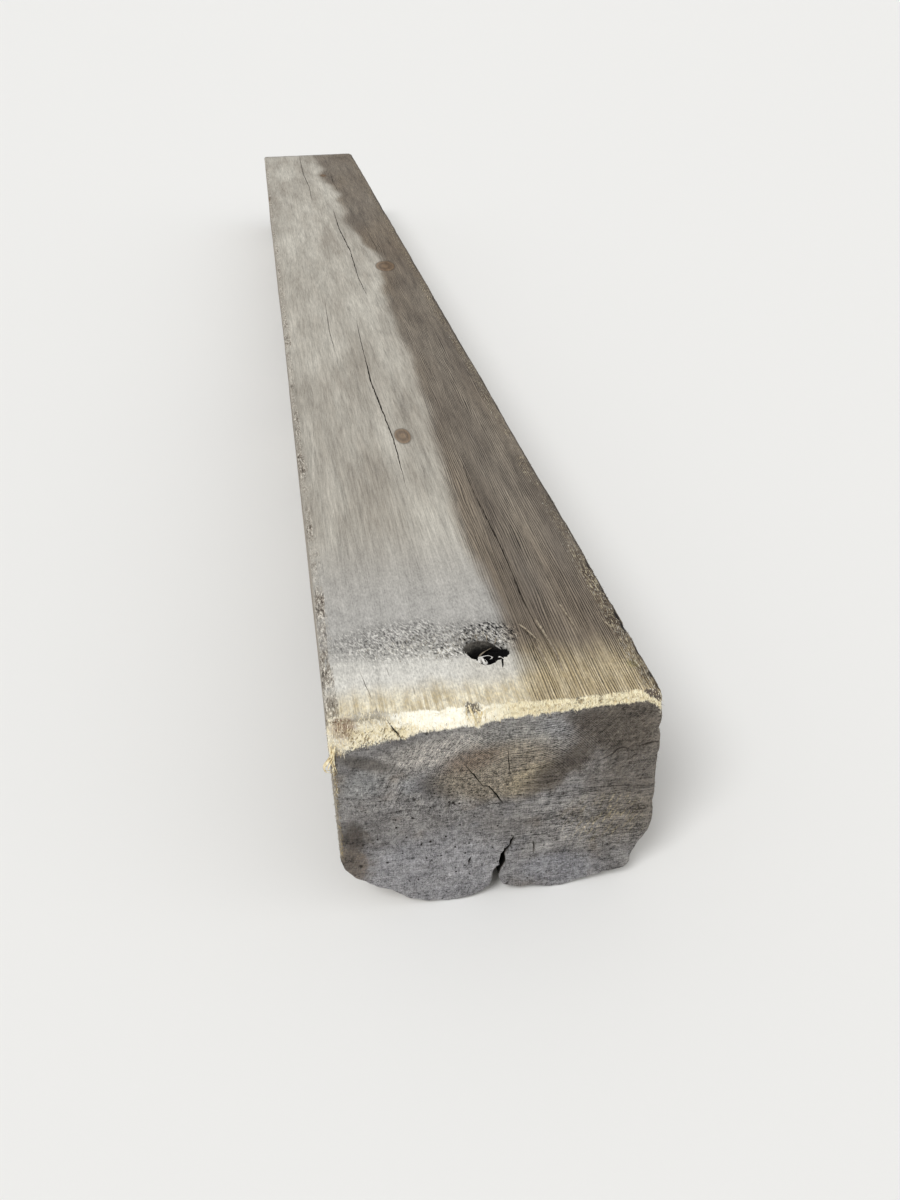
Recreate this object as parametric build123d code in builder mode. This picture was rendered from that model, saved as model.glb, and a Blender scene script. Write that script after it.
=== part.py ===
"""A reclaimed softwood beam: one log sawn flat on four sides and cut square at both ends.

The log was a little too small for the section, so the two lower arrises keep wane, the round of
the log itself. A blind dowel hole is bored into the top near one end. That end has an open split
running up from the underside, whose lips are broken away, a worn upper arris and a chipped corner.

Millimetres. +Y runs along the beam from the bored end, +X to the right as seen from that end, and
+Z up. The origin is the middle of the underside.
"""

import os

from build123d import *

# The sawn beam
length = 2400.0
width = 226.0
height = 170.0

# Long upper arrises, rounded by wear
left_arris_radius = 3.0
right_arris_radius = 9.0

# Round of the log at the bored end: (distance in from the sawn side, height above the underside)
log_left = [(-4.0, 70.0), (22.0, 25.0), (78.0, 0.0)]
log_right_under = [(62.0, 0.0), (35.0, 4.0), (14.0, 13.0)]
log_right_beside = [(6.0, 33.0), (-3.0, 75.0)]
log_right_corner_radius = 8.0

# Lean of the log in the sawn section, from the bored end to the far end
log_lean_right = 3.0
log_lean_down = 20.0

# How far the log, before sawing, stands clear of the finished beam
log_clearance = 60.0

# Dowel hole, bored down from the top
hole_diameter = 30.0
hole_depth = 90.0
hole_from_end = 67.0
hole_from_left = 117.0

# Torn mouth of the dowel hole, longer along the grain and further on its far side
mouth_side_tear = 1.5
mouth_grain_tear = 4.0
mouth_shift = 2.0
mouth_depth = 12.0

# Worn upper arris of the bored end
worn_arris_setback = 4.0
worn_arris_drop = 8.0

# Chip off the upper left corner of the bored end, deepest at the side of the beam
chip_width = 48.0
chip_outer_drop = 24.0
chip_outer_setback = 14.0
chip_inner_drop = 15.0
chip_inner_setback = 9.0

# Split in the bored end, open at the underside, narrow at its neck and leaning right to its tip
split_from_left = 110.5
split_mouth = 11.0
split_neck = 4.0
split_neck_height = 22.0
split_neck_shift = 1.0
split_tip_height = 55.0
split_tip_shift = 12.0
split_reach = 280.0

# Broken lips of the split, highest at the split and running out on the underside
lip_rise = 9.5
lip_left_width = 18.0
lip_right_width = 40.0
lip_right_step = 26.0
lip_right_step_rise = 5.0
lip_reach = 110.0

# Size of the split and its lips where they end inside the beam, as a share of their size at the end
closed_share = 0.08

# How far the cutters of the split stand clear of the underside
cutter_margin = 15.0

near_y = -length / 2
far_y = length / 2
left_x = -width / 2
right_x = width / 2
hole_x = left_x + hole_from_left
hole_y = near_y + hole_from_end
split_x = left_x + split_from_left


def closing_cutter(outline, reach):
    """A cut of this outline in the bored end, closing towards the split's mouth as it runs in."""
    with BuildPart() as cutter:
        for share, depth in ((1, 0), (closed_share, reach)):
            with BuildSketch(Plane.XZ.offset(-(near_y + depth))):
                with BuildLine():
                    Polyline(*[(split_x + x * share, z * share) for x, z in outline], close=True)
                make_face()
        loft()
    return cutter.part


split_outline = [
    (-split_mouth / 2, -cutter_margin),
    (-split_mouth / 2, lip_rise),
    (split_neck_shift - split_neck / 2, split_neck_height),
    (split_tip_shift, split_tip_height),
    (split_neck_shift + split_neck / 2, split_neck_height),
    (split_mouth / 2, lip_rise),
    (split_mouth / 2, -cutter_margin),
]
split_cut = closing_cutter(split_outline, split_reach)

lip_outline = [
    (-lip_left_width, -cutter_margin),
    (-lip_left_width, 0),
    (-split_mouth / 2, lip_rise),
    (split_mouth / 2, lip_rise),
    (lip_right_step, lip_right_step_rise),
    (lip_right_width, 0),
    (lip_right_width, -cutter_margin),
]
lip_cut = closing_cutter(lip_outline, lip_reach)

with BuildPart() as beam:
    # The log, leaning a little in the section, its own round below and clear of the saw above
    lean = Vector(log_lean_right, length, -log_lean_down)
    log_start = Vector(0, near_y, 0) - lean.normalized() * log_clearance
    with BuildSketch(Plane(origin=log_start, x_dir=(1, 0, 0), z_dir=-lean)) as log:
        with BuildLine():
            left_round = ThreePointArc(*[(left_x + inward, up) for inward, up in log_left])
            right_under = ThreePointArc(*[(right_x - inward, up) for inward, up in log_right_under])
            right_beside = ThreePointArc(
                right_under @ 1, *[(right_x - inward, up) for inward, up in log_right_beside]
            )
            Line(left_round @ 1, right_under @ 0)
            Polyline(
                right_beside @ 1,
                (right_x + log_clearance, height + log_clearance),
                (left_x - log_clearance, height + log_clearance),
                left_round @ 0,
            )
        make_face()
        right_corner = log.vertices().sort_by_distance(right_under @ 1)[0]
        fillet(right_corner, radius=log_right_corner_radius)
    extrude(amount=-(lean.length + 2 * log_clearance))

    # The saw cuts: the section with its two upper arrises rounded
    with BuildSketch(Plane.XZ.offset(-far_y)) as section:
        with Locations((0, height / 2)):
            Rectangle(width, height)
        upper_corners = section.vertices().group_by(Axis.Y)[-1].sort_by(Axis.X)
        fillet(upper_corners[0], radius=left_arris_radius)
        fillet(upper_corners[-1], radius=right_arris_radius)
    extrude(amount=length, mode=Mode.INTERSECT)

    # Worn upper arris of the bored end
    with BuildSketch(Plane.YZ):
        with BuildLine():
            Polyline(
                (near_y, height - worn_arris_drop),
                (near_y + worn_arris_setback, height),
                (near_y, height),
                close=True,
            )
        make_face()
    extrude(amount=width, both=True, mode=Mode.SUBTRACT)

    # Chipped upper left corner
    for chip_x, drop, setback in (
        (left_x, chip_outer_drop, chip_outer_setback),
        (left_x + chip_width, chip_inner_drop, chip_inner_setback),
    ):
        with BuildSketch(Plane.YZ.offset(chip_x)):
            with BuildLine():
                Polyline(
                    (near_y, height - drop),
                    (near_y + setback, height),
                    (near_y, height),
                    close=True,
                )
            make_face()
    loft(mode=Mode.SUBTRACT)

    # Dowel hole, and its torn mouth from an oval at the top down to the bore
    with Locations((hole_x, hole_y, height)):
        Hole(radius=hole_diameter / 2, depth=hole_depth)
    with BuildSketch(Plane.XY.offset(height)):
        with Locations((hole_x, hole_y + mouth_shift)):
            Ellipse(
                x_radius=hole_diameter / 2 + mouth_side_tear,
                y_radius=hole_diameter / 2 + mouth_grain_tear,
            )
    with BuildSketch(Plane.XY.offset(height - mouth_depth)):
        with Locations((hole_x, hole_y)):
            Circle(radius=hole_diameter / 2)
    loft(mode=Mode.SUBTRACT)

    # Split and its broken lips
    add(split_cut, mode=Mode.SUBTRACT)
    add(lip_cut, mode=Mode.SUBTRACT)

beam.part.label = "beam"
os.makedirs("parts", exist_ok=True)
export_step(beam.part, "parts/beam.step")
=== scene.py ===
import math

import bmesh
import bpy
import numpy as np
from mathutils import Matrix, Vector


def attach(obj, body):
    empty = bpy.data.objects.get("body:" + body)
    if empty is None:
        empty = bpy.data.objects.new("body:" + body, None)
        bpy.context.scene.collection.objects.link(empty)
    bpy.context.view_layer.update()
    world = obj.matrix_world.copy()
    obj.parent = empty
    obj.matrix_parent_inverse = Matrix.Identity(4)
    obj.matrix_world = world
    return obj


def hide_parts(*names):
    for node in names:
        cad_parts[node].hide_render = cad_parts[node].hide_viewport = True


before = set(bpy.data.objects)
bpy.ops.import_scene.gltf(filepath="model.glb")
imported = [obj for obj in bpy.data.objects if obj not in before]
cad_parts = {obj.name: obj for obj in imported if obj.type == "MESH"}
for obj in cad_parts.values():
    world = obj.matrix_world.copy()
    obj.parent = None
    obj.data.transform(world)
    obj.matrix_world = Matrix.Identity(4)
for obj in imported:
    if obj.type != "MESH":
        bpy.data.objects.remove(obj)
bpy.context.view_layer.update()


# Camera
# It stands off to the left of the bored end, above the top of the beam, and looks down along it.
camera_data = bpy.data.cameras.new("camera")
camera_data.sensor_width = 36
camera_data.lens = 31.5
camera_data.clip_end = 200
camera = bpy.data.objects.new("camera", camera_data)
bpy.context.scene.collection.objects.link(camera)
camera_forward = Vector((0.1350, 0.8447, -0.5175)).normalized()
camera_right = Vector((0.9860, -0.1665, -0.0143))
camera_right = (camera_right - camera_right.dot(camera_forward) * camera_forward).normalized()
camera_up = camera_right.cross(camera_forward)
camera_turn = Matrix((camera_right, camera_up, -camera_forward)).transposed().to_4x4()
camera.matrix_world = Matrix.Translation((-0.1186, -1.7369, 0.5855)) @ camera_turn
bpy.context.scene.camera = camera


# Floor and light
# A pale, even studio floor that runs out to the horizon. One wide key light comes over the left
# shoulder, a weaker fill from the right, and the sky lights the rest.
def link_mesh(name, points, faces):
    """A new object with this mesh, in the scene."""
    mesh = bpy.data.meshes.new(name)
    mesh.from_pydata([tuple(p) for p in points], [], [tuple(int(i) for i in f) for f in faces])
    mesh.update()
    thing = bpy.data.objects.new(name, mesh)
    bpy.context.scene.collection.objects.link(thing)
    return thing


def see_ray_colour(tree, shader, colour):
    """This shader for light, and a plain colour where it is seen, by eye or in gloss."""
    path = tree.nodes.new("ShaderNodeLightPath")
    seen = tree.nodes.new("ShaderNodeMath")
    seen.operation = "MAXIMUM"
    seen_all = tree.nodes.new("ShaderNodeMath")
    seen_all.operation = "MAXIMUM"
    tree.links.new(path.outputs["Is Camera Ray"], seen.inputs[0])
    tree.links.new(path.outputs["Is Glossy Ray"], seen.inputs[1])
    tree.links.new(seen.outputs[0], seen_all.inputs[0])
    tree.links.new(path.outputs["Is Transmission Ray"], seen_all.inputs[1])
    plain = tree.nodes.new("ShaderNodeBackground")
    plain.inputs["Color"].default_value = colour
    plain.inputs["Strength"].default_value = 1.0
    mix = tree.nodes.new("ShaderNodeMixShader")
    tree.links.new(seen_all.outputs[0], mix.inputs[0])
    tree.links.new(shader.outputs[0], mix.inputs[1])
    tree.links.new(plain.outputs[0], mix.inputs[2])
    return mix


floor_reach = 60.0
floor = link_mesh(
    "floor",
    [(x * floor_reach, y * floor_reach, -0.0004) for x, y in ((-1, -1), (1, -1), (1, 1), (-1, 1))],
    [(0, 1, 2, 3)],
)
floor_paint = bpy.data.materials.new("floor_paint")
floor_paint.use_nodes = True
floor_shader = floor_paint.node_tree.nodes["Principled BSDF"]
floor_shader.inputs["Base Color"].default_value = (0.83, 0.83, 0.82, 1)
floor_shader.inputs["Roughness"].default_value = 0.9
floor_shader.inputs["Specular IOR Level"].default_value = 0.1
floor.data.materials.append(floor_paint)

world = bpy.data.worlds.new("studio")
world.use_nodes = True
bpy.context.scene.world = world
sky = world.node_tree.nodes["Background"]
sky.inputs["Color"].default_value = (1.0, 0.99, 0.97, 1)
sky.inputs["Strength"].default_value = 0.5
world_out = world.node_tree.nodes["World Output"]
world_mix = see_ray_colour(world.node_tree, sky, (0.86, 0.86, 0.86, 1))
world.node_tree.links.new(world_mix.outputs[0], world_out.inputs[0])

for name, aim, strength, spread in (
    ("key", (0.42, 0.50, -0.76), 1.8, 24),
    ("fill", (-0.55, 0.60, -0.58), 0.55, 70),
):
    lamp_data = bpy.data.lights.new(name, "SUN")
    lamp_data.energy = strength
    lamp_data.angle = math.radians(spread)
    lamp = bpy.data.objects.new(name, lamp_data)
    lamp.rotation_euler = Vector(aim).to_track_quat("-Z", "Y").to_euler()
    bpy.context.scene.collection.objects.link(lamp)

bpy.context.scene.view_settings.view_transform = "Standard"


# Beam
# One length of softwood, sawn flat on four sides from a log a little too small for it, so the two
# lower edges keep the log's own round. The saw cut both ends square, and years of weather, wear and
# handling have greyed it, opened its checks and broken its edges.
length, width, height = 2400.0, 226.0, 170.0
half_width = width / 2
near_end = -length / 2
heart = np.array((12.0, 89.0))
ring_width = 2.3


def patches(a, b, size_a, size_b, seed):
    """Smooth random ups and downs from -1 to 1 over two directions, of these sizes."""
    table = np.random.default_rng(seed).uniform(-1, 1, (64, 64))
    a, b = np.broadcast_arrays(np.asarray(a, float) / size_a, np.asarray(b, float) / size_b)
    first_a, first_b = np.floor(a).astype(int), np.floor(b).astype(int)
    share_a, share_b = [share**2 * (3 - 2 * share) for share in (a - first_a, b - first_b)]

    def corner(i, j):
        """The table's value at one corner of each point's cell."""
        return table[(first_a + i) % 64, (first_b + j) % 64]

    low = corner(0, 0) * (1 - share_a) + corner(1, 0) * share_a
    high = corner(0, 1) * (1 - share_a) + corner(1, 1) * share_a
    return low * (1 - share_b) + high * share_b


def wander(along, size, seed):
    """Smooth random ups and downs from -1 to 1 along one direction."""
    return patches(along, 0.37, size, 1.0, seed)


def arc_through(start, middle, end, before, after):
    """Points on the circle through three points, from before its start to after its end."""
    (ax, ay), (bx, by), (cx, cy) = start, middle, end
    d = 2 * (ax * (by - cy) + bx * (cy - ay) + cx * (ay - by))
    a2, b2, c2 = ax**2 + ay**2, bx**2 + by**2, cx**2 + cy**2
    centre = np.array(
        (
            (a2 * (by - cy) + b2 * (cy - ay) + c2 * (ay - by)) / d,
            (a2 * (cx - bx) + b2 * (ax - cx) + c2 * (bx - ax)) / d,
        )
    )
    radius = math.dist(centre, start)
    angles = [math.atan2(p[1] - centre[1], p[0] - centre[0]) for p in (start, middle, end)]
    angles = np.unwrap(angles)
    way = np.sign(angles[2] - angles[0])
    turn = np.linspace(angles[0] - way * before / radius, angles[2] + way * after / radius, 400)
    return centre + radius * np.c_[np.cos(turn), np.sin(turn)]


def spaced(points, count, ends=True):
    """The same line as this many evenly spaced points."""
    run = np.r_[0, np.cumsum(np.hypot(*np.diff(points, axis=0).T))]
    at = np.linspace(0, run[-1], count if ends else count + 1)[:count]
    return np.c_[np.interp(at, run, points[:, 0]), np.interp(at, run, points[:, 1])]


# The log's round below: at the bored end as it was left, and along the beam as a plain round
left_wane_near = np.array(
    [(-123, 118), (-118, 82), (-113.9, 58.2), (-110.6, 43), (-105.4, 35.6), (-98, 30.4),
     (-91, 25.2), (-86, 21.6), (-79.2, 19), (-73.5, 15.4), (-67.9, 9.8), (-60.5, 6.2),
     (-53.4, 2.6), (-44, 0.9), (-35.7, -0.3), (-15, -4)]
)
right_wane_near = np.array(
    [(121, 100), (117.5, 74), (113.4, 55.1), (109.6, 42.4), (104.6, 32.7), (100.6, 24.3),
     (98.6, 15.5), (94, 10.2), (84.2, 7), (75, 5.9), (66.7, 3.8), (58, 1.9), (47, -0.4), (30, -4)]
)
left_round = arc_through((-117, 70), (-91, 25), (-35, 0), 45, 60)
right_round = np.r_[
    arc_through((116, 75), (107, 33), (100.5, 17.5), 45, 0),
    arc_through((97.5, 11.5), (78, 4), (51, 0), 0, 60),
]
log_lean_right, log_lean_down = 3.0, 20.0
near_shape_reach = 150.0


def inside_section(points, count):
    """The part of a wane that lies inside the sawn section, as evenly spaced points."""
    fine = spaced(points, 3000)
    kept = fine[(np.abs(fine[:, 0]) <= half_width) & (fine[:, 1] >= 0)]
    kept[0, 0] = math.copysign(half_width, kept[0, 0])
    kept[-1, 1] = 0
    return spaced(kept, count)


def wane(near_points, round_points, distance, count, seed):
    """One lower edge of the beam this far from the bored end, from the side to the underside."""
    share = distance / length
    lean = np.array((log_lean_right * share, -log_lean_down * share))
    line = inside_section(round_points + lean, count + 1)
    near = inside_section(near_points, count + 1)
    blend = math.exp(-distance / near_shape_reach)
    line = near * blend + line * (1 - blend)
    along = np.linspace(0, 1, count + 1)
    across = np.gradient(line, axis=0)
    out = np.c_[across[:, 1], -across[:, 0]] / np.hypot(*across.T)[:, None]
    out *= np.sign((out * (line - heart)).sum(1))[:, None]
    bumps = 1.6 * patches(along * 90, distance, 22, 160, seed)
    bumps += 0.5 * patches(along * 90, distance, 6, 45, seed + 1)
    line = line + out * (bumps * np.sin(along * math.pi) ** 0.5)[:, None]
    line[0, 0] = math.copysign(half_width, line[0, 0])
    line[-1, 1] = 0
    return line


# Broken lips of the split: how far the underside is broken up, across the end
lips = np.array(
    [(-30, 0), (-20.7, 1.0), (-13, 4.0), (-8.5, 8.5), (-4, 10.5), (1, 10.0), (5.2, 7.2), (10, 5.5),
     (16, 4.6), (23.6, 4.8), (32, 1.6), (38, 0)]
)
lip_reach = 110.0
top_count, side_count, under_count = 200, 60, 48
left_wane_count, right_wane_count = 80, 92
left_arris, right_arris = 3.0, 9.0


def outline(distance):
    """The beam's section this far from the bored end, clockwise from the top's left edge."""
    share = np.arange(top_count) / top_count
    share = 1.2 * share - 0.2 * share**2
    across = left_arris - half_width + (width - left_arris - right_arris) * share
    top = np.c_[across, np.full(top_count, height)]
    turn = np.radians(90 - 90 * np.arange(8) / 8)
    right_edge = np.c_[
        half_width - right_arris + right_arris * np.cos(turn),
        height - right_arris + right_arris * np.sin(turn),
    ]
    right = wane(right_wane_near, right_round, distance, right_wane_count, 5)
    left = wane(left_wane_near, left_round, distance, left_wane_count, 8)
    side = np.arange(side_count) / side_count
    right_side = np.c_[
        np.full(side_count, half_width),
        height - right_arris + (right[0, 1] - height + right_arris) * side,
    ]
    under_x = right[-1, 0] + (left[-1, 0] - right[-1, 0]) * np.arange(under_count) / under_count
    lip = np.interp(under_x, *lips.T) * max(0.0, 1 - distance / lip_reach)
    under = np.c_[under_x, lip]
    left_side = np.c_[
        np.full(side_count, -half_width),
        left[0, 1] + (height - left_arris - left[0, 1]) * side,
    ]
    turn = np.radians(180 - 90 * np.arange(4) / 4)
    left_edge = np.c_[
        left_arris - half_width + left_arris * np.cos(turn),
        height - left_arris + left_arris * np.sin(turn),
    ]
    return np.r_[top, right_edge, right_side, right[:-1], under, left[:0:-1], left_side, left_edge]


# Wear of the bored end: a broken upper edge, a chipped left corner and frayed upright edges
drops = np.array(
    [(0, 25), (9.7, 21), (24, 18.2), (36.2, 15.6), (46.5, 16.4), (51.5, 15.0), (60, 11.6), (75, 12.0),
     (90.2, 11.5), (94.5, 11.8), (98, 14.2), (101.5, 12.0), (104, 9.8), (119, 8.8), (150, 8.2),
     (187, 7.6), (203, 8.0), (213, 7.4), (220, 12), (226, 19)]
)
setbacks = np.array(
    [(0, 14), (20, 11.5), (35, 9.4), (38, 8.6), (43, 5.4), (89.5, 4.6), (91.5, 8.5), (99, 8.0),
     (101, 4.4), (120, 3.0), (145, 1.6), (226, 1.4)]
)


def broken_drop(u):
    """How far below the top the broken edge of the bored end reaches, by distance from the left."""
    teeth = 1.1 * wander(u, 2.6, 21) + 0.9 * wander(u, 6.5, 22)
    return np.interp(u, *drops.T) + teeth * np.interp(u, (0, 50, 110, 226), (0.8, 0.8, 1.0, 1.1))


def worn_back(u, w):
    """How far the end is worn back, by distances from the left side and below the top."""
    drop = broken_drop(u)
    setback = np.interp(u, *setbacks.T) + 0.8 * wander(u, 4.0, 23)
    share = np.clip(1 - w / drop, 0, 1)
    back = setback * share**0.85 + 0.55 * np.clip(share * drop / 0.8, 0, 1)
    chipped = np.clip((38 + wander(w, 3, 35) - u) / 2.5, 0, 1)
    ledge = np.clip((6.6 + 0.8 * wander(u, 7, 36) - w) / 0.9, 0, 1) * (10.5 + wander(u, 6, 37))
    back = back * (1 - 0.36 * chipped)
    back += np.clip(ledge - back, 0, 20) * chipped
    clumps = patches(u, w, 1.5, 4.5, 24) * 1.0 + patches(u, w, 4.2, 2.6, 25) * 1.1
    back += clumps * np.clip(share * 3, 0, 1) * (1 - 0.6 * chipped * (w < 6))
    left = np.clip(1 - u / (2.6 + 1.3 * wander(w, 9, 26)), 0, 1) * np.clip((118 - w) / 14, 0, 1)
    back = np.maximum(back, left * (3.2 + 1.0 * wander(w, 5, 27)))
    right = np.clip(1 - (width - u) / (3.0 + 1.4 * wander(w, 6, 28)), 0, 1) * (w < 105)
    return np.maximum(back, right * (2.2 + 1.2 * wander(w, 4, 29)))


def rows(start, stop, first, last):
    """Distances from the end, from start to stop, whose steps grow evenly from first to last."""
    count = round(2 * (stop - start) / (first + last))
    steps = np.linspace(first, last, count)
    return start + np.cumsum(steps) * (stop - start) / steps.sum()


def bridge(a, b):
    """Faces between two closed rows of points, the second with as many points or half of them."""
    step = len(a) // len(b)
    found = []
    for j in range(len(b)):
        k = (j + 1) % len(b)
        start, after = a[j * step], a[(j + 1) * step % len(a)]
        if step == 1:
            found += [(start, after, b[k]), (start, b[k], b[j])]
        else:
            middle = a[j * step + 1]
            found += [(start, middle, b[j]), (middle, b[k], b[j]), (middle, after, b[k])]
    return found


points, faces = [], []


def add_row(ring):
    """Adds a closed row of points and gives their numbers."""
    first = sum(len(p) for p in points)
    points.append(ring)
    return np.arange(first, first + len(ring))


def body_row(distance, every):
    """One closed row of points round the beam, frayed and worn back near the bored end."""
    ring = outline(distance)
    u, w = ring[:, 0] + half_width, height - ring[:, 1]
    fray = np.exp(-distance / 5)
    inward = heart - ring
    inward /= np.hypot(*inward.T)[:, None]
    number = np.arange(len(ring))
    nicks = np.clip(0.4 + wander(number, 4.5, 31) + 0.5 * wander(number, 11, 32), 0, 2)
    lower = np.interp(w, (20, 60, 170), (0.2, 0.8, 1.15)) + 0.9 * (u > 222) * (w > 14) * (w < 100)
    ring = ring + inward * (nicks * lower * fray)[:, None]
    round_off = 1.1 * (1 - min(distance, 1.4) / 1.4) ** 2
    back = worn_back(u, w) * max(0.0, 1 - distance / 45) + round_off
    # the two long upper edges are frayed, most near the end
    frayed = np.clip((u - 208) / 6, 0, 1) * (w < 14) + np.clip((9 - u) / 5, 0, 1) * (w < 8)
    fraying = 0.35 + 0.65 * np.clip(1.35 - distance / 220, 0, 1)
    ragged = 0.8 + 1.1 * patches(u, distance, 3.6, 7, 39) + 0.8 * patches(u + w, distance, 2.4, 16, 40)
    ring = ring + inward * (np.clip(ragged, 0, 3) * frayed * fraying)[:, None]
    # the sawn faces are not quite true
    ring[:, 1] += 0.5 * patches(u, distance, 90, 260, 33) * (w < 20)
    ring[:, 0] += 0.8 * patches(w, distance, 70, 220, 34) * (np.abs(ring[:, 0]) > half_width - 9)
    return np.c_[ring[:, 0], near_end + distance + back, ring[:, 1]][::every]


def end_rows(rim, shares, y_of):
    """Rows that run in from a rim to the heart, each this share of the rim's distance from it."""
    for share in shares:
        ring = heart + (rim - heart) * share
        yield np.c_[ring[:, 0], y_of(ring), ring[:, 1]]


fine_rows = np.r_[rows(0, 6, 0.8, 1.6), rows(6, 128, 1.9, 3.8)]
middle_rows = rows(128, 700, 5, 20)
far_rows = rows(700, length, 22, 28)
far_rows = far_rows[far_rows < length - 3]
rim_row = add_row(body_row(0.0, 1))
last = rim_row
for ring_distances, every in ((fine_rows, 1), (middle_rows, 2), (far_rows, 4)):
    for distance in ring_distances:
        row = add_row(body_row(float(distance), every))
        faces += bridge(last, row)
        last = row

# Far end, sawn square, its edge a little rounded
far_rim = outline(length)[::4]
for inset, y in ((0.0, length - 1.6), (0.9, length - 0.4)):
    ring = far_rim + inset * (heart - far_rim) / np.hypot(*(heart - far_rim).T)[:, None]
    row = add_row(np.c_[ring[:, 0], np.full(len(ring), near_end + y), ring[:, 1]])
    faces += bridge(last, row)
    last = row
for ring in end_rows(far_rim, np.linspace(0.975, 0.03, 24), lambda r: np.full(len(r), -near_end)):
    row = add_row(ring)
    faces += bridge(last, row)
    last = row
centre = add_row(np.array([(heart[0], -near_end, heart[1])]))[0]
faces += [(last[i], last[(i + 1) % len(last)], centre) for i in range(len(last))]

# Bored end, from its rim in to the heart
near_rim = points[0][:, (0, 2)]
last = rim_row
for shares, every in (
    (np.linspace(0.990, 0.765, 22), 1),
    (np.linspace(0.754, 0.43, 30), 2),
    (np.linspace(0.418, 0.02, 36), 4),
):
    for share in shares:
        ring = heart + (near_rim[::every] - heart) * share
        u, w = ring[:, 0] + half_width, height - ring[:, 1]
        row = add_row(np.c_[ring[:, 0], near_end + worn_back(u, w), ring[:, 1]])
        faces += bridge(last, row)
        last = row
centre = add_row(np.array([(heart[0], near_end, heart[1])]))[0]
faces += [(last[i], last[(i + 1) % len(last)], centre) for i in range(len(last))]

blank = link_mesh("beam_blank", np.concatenate(points) * 0.001, faces)


def face_outwards(mesh):
    """Turns the faces of a closed mesh outwards."""
    work = bmesh.new()
    work.from_mesh(mesh)
    bmesh.ops.recalc_face_normals(work, faces=work.faces)
    work.to_mesh(mesh)
    work.free()
    mesh.update()


face_outwards(blank.data)


def vertex_points(mesh):
    """The mesh's points in millimetres."""
    found = np.empty(len(mesh.vertices) * 3)
    mesh.vertices.foreach_get("co", found)
    return found.reshape(-1, 3) * 1000


def set_numbers(mesh, name, values):
    """Stores one number for each point of a mesh."""
    mesh.attributes.new(name, "FLOAT", "POINT").data.foreach_set("value", values.astype(np.float32))


def drop_numbers(mesh, names):
    """Takes stored numbers off a mesh again, where it has them."""
    for name in names:
        if name in mesh.attributes:
            mesh.attributes.remove(mesh.attributes[name])


def from_faces(spots):
    """The distances of points from the left side, the bored end and the top."""
    return spots[:, 0] + half_width, spots[:, 1] - near_end, height - spots[:, 2]


def fresh_wood(spots):
    """How far inside the freshly broken wood of the bored end a point lies, in millimetres."""
    u, v, w = from_faces(spots)
    reach_back = worn_back(u, np.zeros(len(u))) + np.interp(u, (100, 150), (1.6, 0.9))
    top_edge = np.minimum(broken_drop(u) - w, reach_back - v)
    left_edge = np.minimum(np.minimum(1.7 + 1.1 * wander(w, 8, 38) - u, 3.4 - v), 113 - w)
    return np.clip(np.maximum(top_edge, left_edge), -5, 5)


blank_spots = vertex_points(blank.data)
set_numbers(blank.data, "end_share", np.clip(2.2 - np.abs(np.abs(blank_spots[:, 1]) + near_end), 0, 1))
set_numbers(blank.data, "fresh", fresh_wood(blank_spots))


class Flow:
    """A number or a vector on its way through a node tree, so that a tree can be written as sums."""

    def __init__(self, socket):
        self.socket = socket

    def node(self, kind, operation, values, output=0):
        """What one more maths node of the same tree makes of these values."""
        made = self.socket.id_data.nodes.new(kind)
        made.operation = operation
        for slot, value in zip(made.inputs, values):
            join(value, slot)
        return Flow(made.outputs[output])

    def math(self, operation, *others):
        return self.node("ShaderNodeMath", operation, (self, *others))

    def vector(self, operation, *others):
        return self.node("ShaderNodeVectorMath", operation, (self, *others))

    def dot(self, way):
        return self.node("ShaderNodeVectorMath", "DOT_PRODUCT", (self, way), "Value")

    def length(self):
        return self.node("ShaderNodeVectorMath", "LENGTH", (self,), "Value")

    def __add__(self, other):
        return self.math("ADD", other)

    def __mul__(self, other):
        return self.math("MULTIPLY", other)

    def __sub__(self, other):
        return self.math("SUBTRACT", other)

    def __rsub__(self, other):
        return self.node("ShaderNodeMath", "SUBTRACT", (other, self))

    def __truediv__(self, other):
        return self.math("DIVIDE", other)

    __radd__ = __add__
    __rmul__ = __mul__

    def larger(self, other):
        return self.math("MAXIMUM", other)

    def smaller(self, other):
        return self.math("MINIMUM", other)

    def smooth(self, low, high):
        """0 at low, 1 at high, and an even curve between them. Low may be the larger of the two."""
        node = self.socket.id_data.nodes.new("ShaderNodeMapRange")
        node.interpolation_type = "SMOOTHSTEP"
        join(self, node.inputs["Value"])
        node.inputs["From Min"].default_value = min(low, high)
        node.inputs["From Max"].default_value = max(low, high)
        node.inputs["To Min"].default_value = 0.0 if low < high else 1.0
        node.inputs["To Max"].default_value = 1.0 if low < high else 0.0
        return Flow(node.outputs[0])


def join(value, slot):
    """Feeds a node's input from another node, or sets it."""
    if isinstance(value, Flow):
        slot.id_data.links.new(value.socket, slot)
    else:
        slot.default_value = value


def node_output(tree, kind, output=0, settings=None, **inputs):
    """One output of a new node. An underscore in an input's name stands for a space."""
    node = tree.nodes.new(kind)
    for name, value in (settings or {}).items():
        setattr(node, name, value)
    for name, value in inputs.items():
        join(value, node.inputs[name.replace("_", " ")])
    return Flow(node.outputs[output])


def stored_number(tree, name):
    """A number that the mesh holds for each of its points, in a Geometry Nodes tree."""
    return node_output(tree, "GeometryNodeInputNamedAttribute", 0, {"data_type": "FLOAT"}, Name=name)


def in_mm(point):
    """A point in metres, in millimetres."""
    return point.vector("MULTIPLY", (1000, 1000, 1000))


def parts(vector):
    """X, Y and Z of a vector."""
    node = vector.socket.id_data.nodes.new("ShaderNodeSeparateXYZ")
    join(vector, node.inputs[0])
    return [Flow(output) for output in node.outputs]


def squeezed(point, across, up, along=1.0):
    """A point drawn in, so that noise on it is drawn out."""
    return point.vector("MULTIPLY", (across, along, up))


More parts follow.
